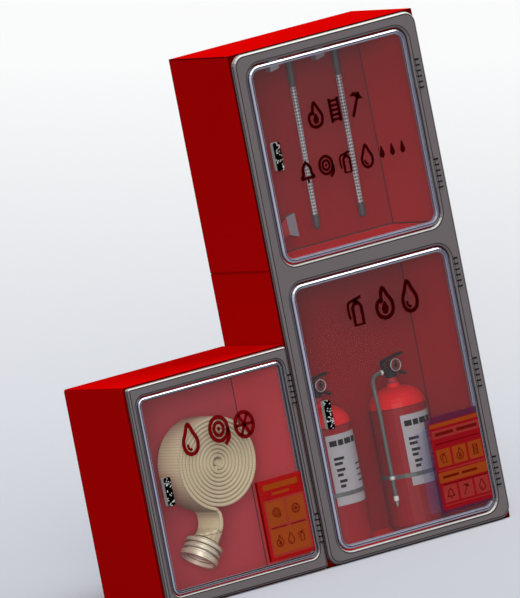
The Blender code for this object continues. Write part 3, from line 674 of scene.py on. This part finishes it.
def tube(shape, path, radius, sides=14):
    # a round tube along a path that stays near the x and z plane, with closed ends
    turns = [2 * math.pi * side / sides for side in range(sides)]
    rows = []
    for index, spot in enumerate(path):
        before, after = path[max(index - 1, 0)], path[min(index + 1, len(path) - 1)]
        run = (Vector(after) - Vector(before)).normalized()
        aside = run.cross(Vector((0, 1, 0))).normalized()
        third = run.cross(aside)
        rows.append([shape.verts.new(Vector(spot) + radius * (aside * math.cos(t) + third * math.sin(t)))
                     for t in turns])
    skin(shape, rows)


# hose coil: ten turns of flat canvas, each with a rounded edge
coil = {"turns": 10, "pitch": 12.6 * mm, "thick": 12.0 * mm, "eye": 15.8 * mm, "endBearing": -112.6,
        "stepsATurn": 72, "edgeSteps": 5}


def coilBand(shape):
    low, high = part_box("hose_coil")
    centre = sum(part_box("hose_peg"), start=Vector()) / 2
    half = coil["thick"] / 2
    ring = [(half * math.sin(turn), low.y + half - half * math.cos(turn)) for turn in
            (math.radians(-90 + 180 * step / coil["edgeSteps"]) for step in range(coil["edgeSteps"] + 1))]
    ring += [(x, low.y + high.y - y) for x, y in reversed(ring)]
    end = math.radians(coil["endBearing"])
    rows = []
    for step in range(coil["turns"] * coil["stepsATurn"] + 1):
        turns = step / coil["stepsATurn"]
        angle = end + 2 * math.pi * (turns - coil["turns"])
        middle = coil["eye"] + coil["pitch"] * turns
        rows.append([shape.verts.new((centre.x + (middle + out) * math.cos(angle), y,
                                      centre.z + (middle + out) * math.sin(angle))) for out, y in ring])
    skin(shape, rows)


def addCoil():
    made = keep("hoseCoil", coilBand, bySlot["hose_canvas"], angle=60)
    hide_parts("hose_coil")


def addCoupling():
    centre, axis = couplingAxis()

    def rings(shape):
        lathe(shape, coupling["profile"], centre, axis, steps=44)

    made = keep("hoseCoupling", rings, bySlot["coupling_metal"])
    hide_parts("hose_coupling")


# extinguishers: valve, gauge, label, fittings
extinguisher = {"radius": 89 * mm, "leverTop": 556 * mm, "bodyTop": 540 * mm, "leverHalf": 9 * mm,
                "gaugeHeight": 527 * mm, "gaugeAside": 5 * mm,
                "outletHeight": 511 * mm, "outletReach": 32 * mm,
                "hoseRadius": 6.4 * mm, "hoseRun": 96.6 * mm, "hoseBearing": 20, "strapHeight": 192 * mm,
                "labelLow": 158 * mm, "labelHigh": 377 * mm, "labelThick": 0.3 * mm,
                "labelGap": 0.05 * mm, "labelStep": 0.16 * mm}
valveProfile = {"neckRise": 19, "gaugeDepth": 27}  # in millimetres, as the turned profiles are
printLook = {"paper": (0.47, 0.45, 0.48), "ink": (0.006, 0.006, 0.007), "blue": (0.30, 0.42, 0.52),
             "pink": (0.56, 0.24, 0.27), "white": (0.60, 0.58, 0.61), "cream": (0.60, 0.56, 0.36)}
labelPrint = {name: plainFinish("label" + name.title(), colour, 0.55, speckle=300.0, shine=0.05)
              for name, colour in printLook.items()}
valveBlack = plainFinish("valveBlack", (0.007, 0.007, 0.007), 0.5, shine=0.1)
neckRed = plainFinish("neckRed", (0.40, 0.03, 0.035), 0.5, shine=0.1)
chrome = satinMetal("chrome", (0.40, 0.40, 0.40), 0.42, 0.5, strength=0.02)
paleFitting = plainFinish("paleFitting", (0.72, 0.72, 0.72), 0.4, 0.1)
dialGround = plainFinish("dialGround", (0.14, 0.03, 0.03), 0.4, shine=0.1)
dialArcs = plainFinish("dialRed", (0.35, 0.02, 0.02), 0.4, shine=0.1)


def onCylinder(centre, radius, bearing, height):
    # a place on the body, with the bearing in degrees from the front towards the right
    turn = math.radians(bearing)
    return (centre.x + radius * math.sin(turn), centre.y - radius * math.cos(turn), height)


def wrapped(shape, centre, radius, thick, left, right, low, high):
    # a thin sheet bent round the body, with a column about every 4 degrees
    columns = max(2, round((right - left) / 4))
    skin(shape, [[shape.verts.new(onCylinder(centre, radius + out, left + (right - left) * column / columns,
                                             height))
                  for out, height in ((thick, low), (thick, high), (0, high), (0, low))]
                 for column in range(columns + 1)])


# what is printed on the label: finish, left and right bearing, low and high share of its height
labelPlan = {
    "paper": [(-33, 62, 0.0, 1.0)],
    "blue": [(8, 15, 0.07, 0.74), (15, 47, 0.66, 0.76)],
    "pink": [(15, 58, 0.18, 0.64)],
    "white": [(18, 58, 0.21, 0.61)],
    "cream": [(20, 57, 0.02, 0.15)],
    "ink": [(-27, -12, 0.84, 0.92), (-9, 3, 0.84, 0.92), (6, 24, 0.84, 0.92), (27, 44, 0.84, 0.92),
            (-24, -2, 0.64, 0.68), (-24, -7, 0.57, 0.61), (-22, -4, 0.48, 0.52), (-22, -10, 0.41, 0.45),
            (-20, -4, 0.32, 0.36), (-20, -9, 0.25, 0.29)]
    + [(26, 50, row, row + 0.02) for row in (0.28, 0.36, 0.44, 0.52)],
}
plainLabel = ("paper", "ink")


# the hose beside the valve, as millimetres to the left, forward and up from the outlet, and then the
# heights of its straight run
hoseElbow = ((38, 0, 0), (52, 2, -1), (70, 8, -7), (84, 18, -22), (91, 28, -45), (92, 32, -75))
hoseHeights = (400, 330, 260, 195, 132)


def addLabel(label, centre, shades):
    foot, tall = extinguisher["labelLow"], extinguisher["labelHigh"] - extinguisher["labelLow"]
    for layer, (shade, blocks) in enumerate(labelPlan.items()):
        radius = extinguisher["radius"] + extinguisher["labelGap"] + extinguisher["labelStep"] * layer

        def sheets(shape):
            for left, right, low, high in blocks:
                wrapped(shape, centre, radius, extinguisher["labelThick"], left, right,
                        foot + low * tall, foot + high * tall)
        if shade in shades:
            keep(label + "Label" + shade.title(), sheets, labelPrint[shade])


def gaugeCentre(centre):
    return Vector((centre.x + extinguisher["gaugeAside"], centre.y, extinguisher["gaugeHeight"]))


def addValve(number, label, centre):
    x, y = centre.x, centre.y
    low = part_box(f"extinguisher_{number}_valve")[0].z
    outlet, wide = extinguisher["outletHeight"], extinguisher["leverHalf"]
    neck, depth = valveProfile["neckRise"], valveProfile["gaugeDepth"]
    # heights above the valve's foot, in millimetres
    outletRise, bodyRise = (outlet - low) / mm, (extinguisher["bodyTop"] - low) / mm

    def body(shape):
        lathe(shape, [(0, neck), (17, neck), (19, neck + 2), (19, neck + 12), (15, neck + 16),
                      (15, outletRise + 4), (10, outletRise + 9), (10, bodyRise - 3), (7, bodyRise),
                      (0, bodyRise)], (x, y, low), (0, 0, 1))
        lathe(shape, [(0, 0), (13, 0), (13, 16), (19, 19), (19, depth), (0, depth)],
              gaugeCentre(centre), (0, -1, 0))
        lathe(shape, [(0, 0), (8, 0), (8, 24), (9.5, 25), (9.5, 31), (0, 31)], (x, y, outlet), (-1, 0, 0))

    def collar(shape):
        lathe(shape, [(0, 0), (18, 0), (18, 3), (15, 5), (14.5, neck - 1), (0, neck - 1)],
              (x, y, low), (0, 0, 1))

    def strip(shape, points, thick):
        # a lever's strip through points given across and up from the outlet, in millimetres
        band(shape, [(x + across * mm, outlet + up * mm) for across, up in points], thick, y - wide, y + wide)

    def levers(shape):
        rise = (extinguisher["leverTop"] - outlet) / mm
        strip(shape, softened([(-22, 4), (-25, 16), (-25, rise - 18), (-18, rise - 11), (10, rise - 6),
                               (40, rise - 1), (52, rise)], closed=False), 6 * mm)
        strip(shape, softened([(2, 4), (18, -3), (36, -12), (52, -21)], closed=False), 6 * mm)
        strip(shape, [(-24, 6), (0, 2)], 9 * mm)

    made = keep(label + "ValveBody", body, valveBlack)
    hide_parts(f"extinguisher_{number}_valve")
    keep(label + "Levers", levers, valveBlack)
    keep(label + "Neck", collar, neckRed)


def addGauge(label, centre):
    dial = gaugeCentre(centre)
    x, z, face = dial.x, dial.z, dial.y - valveProfile["gaugeDepth"] * mm

    def bezel(shape):
        torus(shape, (x, face - 0.4 * mm, z), (0, 1, 0), 18.6, 1.6)

    def ground(shape):
        patch(shape, arc(x, z, 17.4 * mm, 0, 352.5, 47), face - 0.5 * mm, face)

    def arcs(shape):
        for start in (130, -45):
            band(shape, arc(x, z, 13.5 * mm, start, start + 95, 14), 3 * mm, face - 0.8 * mm,
                 face - 0.4 * mm)

    def marks(shape):
        band(shape, [(x - mm, z - 8 * mm), (x + 2 * mm, z + 13 * mm)], 3 * mm, face - 1.4 * mm,
             face - 0.9 * mm)
        patch(shape, arc(x, z, 6.5 * mm, 0, 345, 23), face - 1.6 * mm, face - 0.4 * mm)
        for bearing in range(-45, 226, 45):
            ticks = [arc(x, z, reach, bearing, bearing, 1)[0] for reach in (9 * mm, 12 * mm)]
            band(shape, ticks, 2.2 * mm, face - 0.9 * mm, face - 0.4 * mm)

    keep(label + "GaugeBezel", bezel, chrome)
    keep(label + "GaugeDial", ground, dialGround)
    keep(label + "GaugeRed", arcs, dialArcs)
    keep(label + "GaugeMarks", marks, valveBlack)


def addHose(number, label, centre):
    x, y, outlet = centre.x, centre.y, extinguisher["outletHeight"]
    turn = math.radians(extinguisher["hoseBearing"])
    run = Vector((x - extinguisher["hoseRun"] * math.cos(turn), y - extinguisher["hoseRun"] * math.sin(turn),
                  extinguisher["strapHeight"]))

    def line(shape):
        path = [(x - side * mm, y - ahead * mm, outlet + rise * mm) for side, ahead, rise in hoseElbow]
        path += [(run.x, run.y, height * mm) for height in hoseHeights]
        tube(shape, softened(path, 5, closed=False), extinguisher["hoseRadius"])
        tip = nozzleLook["tipLength"]
        lathe(shape, [(0, 0), (3, 0), (5.4, 12), (5.4, tip - 2), (8, tip), (8, tip + 13), (6.8, tip + 15),
                      (0, tip + 15)], (run.x, run.y, nozzleLook["ferrule"] - tip * mm), (0, 0, 1), steps=20)

    def nut(shape):
        lathe(shape, [(0, -4), (7, -4), (8.2, -2.8), (8.2, 2.8), (6.5, 5), (0, 5)],
              (x - extinguisher["outletReach"], y, outlet), (-1, 0, 0), steps=20)

    def clip(shape):
        lathe(shape, [(6.5, -5.5), (8.4, -5.5), (9, -4.6), (9, 4.6), (8.4, 5.5), (6.5, 5.5), (6.5, -5.5)],
              run, (0, 0, 1), steps=20)

    made = keep(label + "Hose", line, bySlot["dark_plastic"], angle=50)
    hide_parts(f"extinguisher_{number}_hose")
    keep(label + "HoseNut", nut, paleFitting)
    keep(label + "HoseClip", clip, paleFitting)


def addExtinguisher(number):
    label = "extinguisher" + str(number)
    low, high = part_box(f"extinguisher_{number}_cylinder")
    centre = (low + high) / 2
    addLabel(label, centre, plainLabel if number == 1 else labelPlan)
    addValve(number, label, centre)
    addGauge(label, centre)
    addHose(number, label, centre)


# hinges: dark washers between the knuckles, black as painted shade of the gaps there, sizes in millimetres
washers = {"count": 6, "pitch": 17.4, "hole": 2.6, "radius": 7.8, "thick": 3.6}
washerBlack = plainFinish("washerBlack", (0.006, 0.006, 0.006), 0.7, shine=0.0)
jointAt = {joint["name"]: joint["pos_m"] for joint in frame["record"]["behaviour"]["joints"]}


def addWashers(node):
    low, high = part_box(node)
    axisX, axisY = jointAt[node.split("_")[0] + "_door_hinge"][:2]
    count, hole, radius, half = washers["count"], washers["hole"], washers["radius"], washers["thick"] / 2

    def rings(shape):
        for step in range(count):
            height = (low.z + high.z) / 2 + (step - (count - 1) / 2) * washers["pitch"] * mm
            lathe(shape, [(hole, -half), (radius, -half), (radius, half), (hole, half), (hole, -half)],
                  (axisX, axisY, height), (0, 0, 1), steps=16)

    keep(node.replace("_", "") + "Washers", rings, washerBlack)


# pictures on the doors' glass
class Pen:
    # draws on a door's glass in units of half a picture's width and height
    def __init__(self, shape, x, z, halfWidth, halfHeight, near, far, bold=1.0):
        self.bold = bold
        self.shape = shape
        self.centre = (x, z)
        self.half = (halfWidth, halfHeight)
        self.depths = (near, far)

    def spots(self, points):
        return [(self.centre[0] + x * self.half[0], self.centre[1] + z * self.half[1]) for x, z in points]

    def line(self, points, width=0.2, closed=False):
        band(self.shape, self.spots(points), width * self.bold * self.half[0], *self.depths, closed)

    def curve(self, points, width=0.2, closed=False):
        self.line(softened(points, 4, closed), width, closed)

    def blob(self, points, soft=True):
        patch(self.shape, self.spots(softened(points) if soft else points), *self.depths)

    def ring(self, x, z, radius, width=0.2):
        self.line(arc(x, z, radius, 0, 345, 23), width, True)


def drawFlame(pen):
    pen.curve([(0.05, 1.0), (0.42, 0.42), (0.72, -0.1), (0.6, -0.72), (0.0, -0.98), (-0.6, -0.72),
               (-0.7, -0.1), (-0.42, 0.2), (-0.2, 0.12), (-0.18, 0.5)], 0.2, True)
    pen.blob([(0.05, 0.12), (0.3, -0.3), (0.2, -0.66), (-0.15, -0.7), (-0.3, -0.35)])


def drawAxe(pen):
    pen.line([(-0.6, -0.95), (0.42, 0.9)], 0.2)
    pen.blob([(-0.62, 0.72), (-0.1, 0.62), (0.2, 0.38), (0.42, 0.78), (0.12, 0.92), (-0.2, 1.0)], False)
    pen.blob([(0.2, 0.38), (0.8, 0.3), (0.42, 0.78)], False)


def drawLadder(pen):
    for side in (-0.45, 0.45):
        pen.line([(side, -0.98), (side, 0.98)], 0.2)
    for rung in range(5):
        pen.line([(-0.45, -0.76 + 0.38 * rung), (0.45, -0.76 + 0.38 * rung)], 0.16)


def drawBell(pen):
    pen.curve([(-0.8, -0.5), (-0.5, -0.2), (-0.45, 0.3), (0.0, 0.75), (0.45, 0.3), (0.5, -0.2),
               (0.8, -0.5)], 0.22)
    pen.line([(-0.85, -0.55), (0.85, -0.55)], 0.2)
    pen.blob(arc(0, -0.82, 0.16, 0, 330, 11), False)
    pen.line([(0, 0.7), (0, 0.98)], 0.2)


def drawDrop(pen):
    pen.curve([(0.0, 1.0), (0.34, 0.4), (0.62, -0.15), (0.5, -0.75), (0.0, -0.98), (-0.5, -0.75),
               (-0.62, -0.15), (-0.34, 0.4)], 0.2, True)
    pen.curve([(-0.28, -0.3), (-0.22, -0.58), (0.05, -0.7)], 0.14)


def drawReel(pen):
    pen.ring(0, 0.15, 0.78, 0.2)
    pen.ring(0, 0.15, 0.42, 0.18)
    pen.blob(arc(0, 0.15, 0.14, 0, 330, 11), False)
    pen.curve([(0.78, 0.1), (0.8, -0.5), (0.35, -0.95)], 0.2)


def drawCanister(pen):
    pen.line([(-0.38, -0.95), (-0.38, 0.2), (-0.2, 0.45), (0.2, 0.45), (0.38, 0.2), (0.38, -0.95)],
             0.2, True)
    pen.line([(-0.25, 0.66), (0.5, 0.82)], 0.16)
    pen.line([(0, 0.45), (0, 0.75)], 0.2)
    pen.curve([(-0.05, 0.68), (-0.7, 0.55), (-0.78, -0.1), (-0.72, -0.5)], 0.14)


def drawWheel(pen):
    pen.ring(0, 0, 0.8, 0.2)
    for turn in range(3):
        angle = math.radians(60 * turn)
        pen.line([(-0.78 * math.cos(angle), -0.78 * math.sin(angle)),
                  (0.78 * math.cos(angle), 0.78 * math.sin(angle))], 0.16)


# each row: door, height above the floor, size, the pictures and their places from the column's left face
pictureRows = {
    "upperFirst": ("upper", 1360, 1.1, [(drawFlame, 263), (drawLadder, 338), (drawAxe, 421)]),
    "upperSecond": ("upper", 1197, 1.0, [(drawBell, 194), (drawReel, 267), (drawCanister, 345),
                                         (drawDrop, 421)]),
    "lowerRow": ("lower", 746, 1.35, [(drawCanister, 278), (drawFlame, 380), (drawDrop, 476)]),
    "hoseRow": ("hose", 500, 1.35, [(drawDrop, -416), (drawReel, -306), (drawWheel, -211)]),
}
picture = {"halfWidth": 31 * mm, "halfHeight": 35 * mm, "thick": 0.5 * mm, "gap": 0.05 * mm, "bold": 1.5,
           "drops": (479, 518, 557), "dropWidth": 14 * mm, "dropHeight": 20 * mm}
pictureRed = plainFinish("pictureRed", (0.035, 0.0005, 0.001), 0.7, cover=0.94, shine=0.0)
pictureBright = plainFinish("pictureBright", (0.15, 0.002, 0.003), 0.7, cover=0.94, shine=0.0)


def drawSmallDrop(pen):
    pen.blob([(0.0, 1.0), (0.55, -0.1), (0.6, -0.6), (0.0, -0.95), (-0.6, -0.6), (-0.55, -0.1)])


def addPictures(name, row):
    door, height, size, drawings = row
    glass = glassBox[door][0].y
    near, far = glass - picture["thick"], glass - picture["gap"]

    def drawn(shape):
        for draw, x in drawings:
            draw(Pen(shape, columnLeft + x * mm, height * mm, size * picture["halfWidth"],
                     size * picture["halfHeight"], near, far, picture["bold"]))
        if name == "upperSecond":
            for x in picture["drops"]:
                drawSmallDrop(Pen(shape, columnLeft + x * mm, height * mm, picture["dropWidth"],
                                  picture["dropHeight"], near, far))

    keep(name + "Pictures", drawn, pictureBright if door == "hose" else pictureRed, door + "_door")


# posters on the glass: plain panels with simple pictures
posterShades = {"faint": ((0.16, 0.13, 0.30), 0.10), "plum": ((0.11, 0.02, 0.06), 0.5),
                "red": ((0.44, 0.004, 0.003), 0.5), "rose": ((0.42, 0.05, 0.04), 0.5),
                "orange": ((0.42, 0.085, 0.01), 0.5), "dim": ((0.14, 0.002, 0.002), 0.65)}
posterFinish = {name: plainFinish("poster" + name.title(), colour, 0.6, cover=cover, shine=0.0)
                for name, (colour, cover) in posterShades.items()}
# left, right, low and high in millimetres from the column's left face and the floor
posters = {
    "lower": {"layers": [
        ("faint", [(399, 440, 76, 330)]),
        ("plum", [(440, 640, 67, 364)]),
        ("red", [(452, 640, 76, 344)]),
        ("rose", [(460, 640, 296, 322), (460, 640, 196, 200), (460, 640, 88, 91)]),
        ("orange", [(456, 640, 330, 342), (456, 640, 160, 192)]),
        ("rose", [(462 + 60 * i, 514 + 60 * i, 98, 150) for i in range(3)]),
        ("orange", [(462 + 60 * i, 514 + 60 * i, 208, 262) for i in range(3)])],
        "drawings": [(drawCanister, 488, 235), (drawFlame, 548, 235), (drawLadder, 608, 235),
                     (drawBell, 488, 124), (drawAxe, 548, 124), (drawDrop, 608, 124)],
        "bars": [(470, 540, 304, 314), (552, 630, 304, 314), (466, 634, 278, 281), (466, 634, 152, 155),
                 (470, 530, 172, 180), (542, 600, 172, 180)]},
    "hose": {"layers": [
        ("red", [(-216, -42, 68, 317)]),
        ("dim", [(-216, -208, 68, 317)]),
        ("rose", [(-198, -46, 78, 254)]),
        ("orange", [(-192, -124, 172, 248), (-118, -52, 172, 248), (-192, -52, 86, 162),
                    (-190, -60, 284, 302), (-160, -96, 266, 274)])],
        "drawings": [(drawReel, -158, 210), (drawWheel, -85, 210), (drawFlame, -164, 124),
                     (drawDrop, -122, 124), (drawCanister, -80, 124)],
        "bars": [(-186, -130, 165, 168), (-112, -58, 165, 168)]},
}
posterLook = {"drawing": 17 * mm, "thick": 0.5 * mm, "thickStep": 0.1 * mm, "gap": 0.04 * mm,
              "gapStep": 0.08 * mm, "drawingGap": 0.3 * mm}


def addPoster(door, plan):
    glass = glassBox[door][0].y
    last = len(plan["layers"])

    def panels(shape, blocks, level):
        near = glass - posterLook["thick"] - posterLook["thickStep"] * level
        far = glass - posterLook["gap"] - posterLook["gapStep"] * level
        for left, right, low, high in blocks:
            corners = (left, low), (right, low), (right, high), (left, high)
            patch(shape, [(columnLeft + x * mm, z * mm) for x, z in corners], near, far)

    for level, (shade, blocks) in enumerate(plan["layers"]):
        keep(f"{door}Poster{shade.title()}{level}", lambda shape: panels(shape, blocks, level),
             posterFinish[shade], door + "_door")

    def drawn(shape):
        near = glass - posterLook["thick"] - posterLook["thickStep"] * last
        for draw, x, z in plan["drawings"]:
            draw(Pen(shape, columnLeft + x * mm, z * mm, posterLook["drawing"], posterLook["drawing"],
                     near, glass - posterLook["drawingGap"]))
        panels(shape, plan["bars"], last)

    keep(door + "PosterDrawings", drawn, posterFinish["dim"], door + "_door")


addCoil()
addCoupling()
for number in (1, 2):
    addExtinguisher(number)
for node in hinges:
    addWashers(node)
for name, row in pictureRows.items():
    addPictures(name, row)
for door, plan in posters.items():
    addPoster(door, plan)
print("cabinet: contents and fittings")


# studio: lamps as strength, where the light comes from, and the lamp's spread in degrees
studio = {"keyLamp": (1.7, (-0.554, -0.825, 0.14), 15), "frontLamp": (1.1, (-0.3, -0.75, 0.6), 40),
          "topLamp": (1.5, (0.5, -0.15, 0.85), 30), "world": 0.28, "worldTint": (0.97, 0.98, 1.0),
          "floorNear": (0.615, 0.642, 0.708), "floorFar": (1.0, 1.0, 1.0), "floorBounce": (0.24, 0.24, 0.25),
          "paleFrom": (-1.11, -1.66, 0.0), "paleReach": 16.9, "palerWay": (0.83, -0.557, 0.0),
          "palerWide": 2.4, "palerBy": 0.252, "paleStart": 0.189,
          "floorRadius": 80, "floorDrop": 0.5 * mm}


def sunLamp(name, strength, aim, spread):
    lamp = bpy.data.lights.new(name, "SUN")
    lamp.energy = strength
    lamp.angle = math.radians(spread)
    made = bpy.data.objects.new(name, lamp)
    bpy.context.scene.collection.objects.link(made)
    made.rotation_euler = Vector(aim).to_track_quat("Z", "Y").to_euler()


def addSky():
    world = bpy.data.worlds.new("studioSky")
    bpy.context.scene.world = world
    world.use_nodes = True
    sky = Graph(world.node_tree)
    plain = sky.nodes["Background"].inputs
    sky.feed(plain["Color"], studio["worldTint"])
    # pale where it is seen, dimmer as a light
    sky.feed(plain["Strength"], sky.node("MapRange", {}, {"Value": sky.seen(), "To Min": studio["world"]}))


def addFloor():
    # the backdrop is one wide floor, paler far from the paleFrom place and to one side
    floor = Paint("studioFloor", Roughness=0.9, Specular_IOR_Level=0.0)
    reach = floor.vectors("DISTANCE", floor.place(), studio["paleFrom"])
    aside = floor.vectors("DOT_PRODUCT", floor.place(), studio["palerWay"])
    leaning = (aside / studio["palerWide"] + 0.5).clipped() * studio["palerBy"]
    share = floor.ramp(reach / studio["paleReach"] + leaning - studio["paleStart"], 0.0, 1.0)
    shown = floor.mix(share, studio["floorNear"], studio["floorFar"])
    floor.put("Base Color", floor.mix(floor.seen(), studio["floorBounce"], shown))

    def disc(shape):
        bmesh.ops.create_circle(shape, cap_ends=True, segments=96, radius=studio["floorRadius"])

    mesh = meshFrom("studioFloor", disc)
    mesh.materials.append(floor.material)
    made = bpy.data.objects.new("studioFloor", mesh)
    bpy.context.scene.collection.objects.link(made)
    made.location.z = -studio["floorDrop"]


# camera: the photograph is nearly a parallel projection, rolled to one side
view = {"turn": -33.86, "tilt": 6.33, "roll": -11.08, "pixelsPerMetre": 327.23, "lens": 1300.0,
        "aim": (0.047, 0.15, 0.8356), "photoHeight": 598}


def photoCamera():
    turn, tilt, roll = (math.radians(view[key]) for key in ("turn", "tilt", "roll"))
    right = Vector((math.cos(turn), math.sin(turn), 0))
    back = Vector((math.sin(turn) * math.cos(tilt), -math.cos(turn) * math.cos(tilt), math.sin(tilt)))
    up = back.cross(right)
    across = right * math.cos(roll) + up * math.sin(roll)
    upward = up * math.cos(roll) - right * math.sin(roll)
    lens = bpy.data.cameras.new("photoCamera")
    lens.lens = view["lens"]
    distance = view["photoHeight"] / view["pixelsPerMetre"] * lens.lens / lens.sensor_width
    lens.clip_end = 2 * distance
    made = bpy.data.objects.new("photoCamera", lens)
    bpy.context.scene.collection.objects.link(made)
    aim = Vector(view["aim"]) + Vector((columnLeft, frontY, 0))
    place = Matrix((across, upward, back)).transposed().to_4x4()
    place.translation = aim + back * distance
    made.matrix_world = place
    bpy.context.scene.camera = made


bpy.context.scene.view_settings.view_transform = "Standard"
for name in ("keyLamp", "frontLamp", "topLamp"):
    sunLamp(name, *studio[name])
addSky()
addFloor()
photoCamera()
print("cabinet: studio and camera ready")
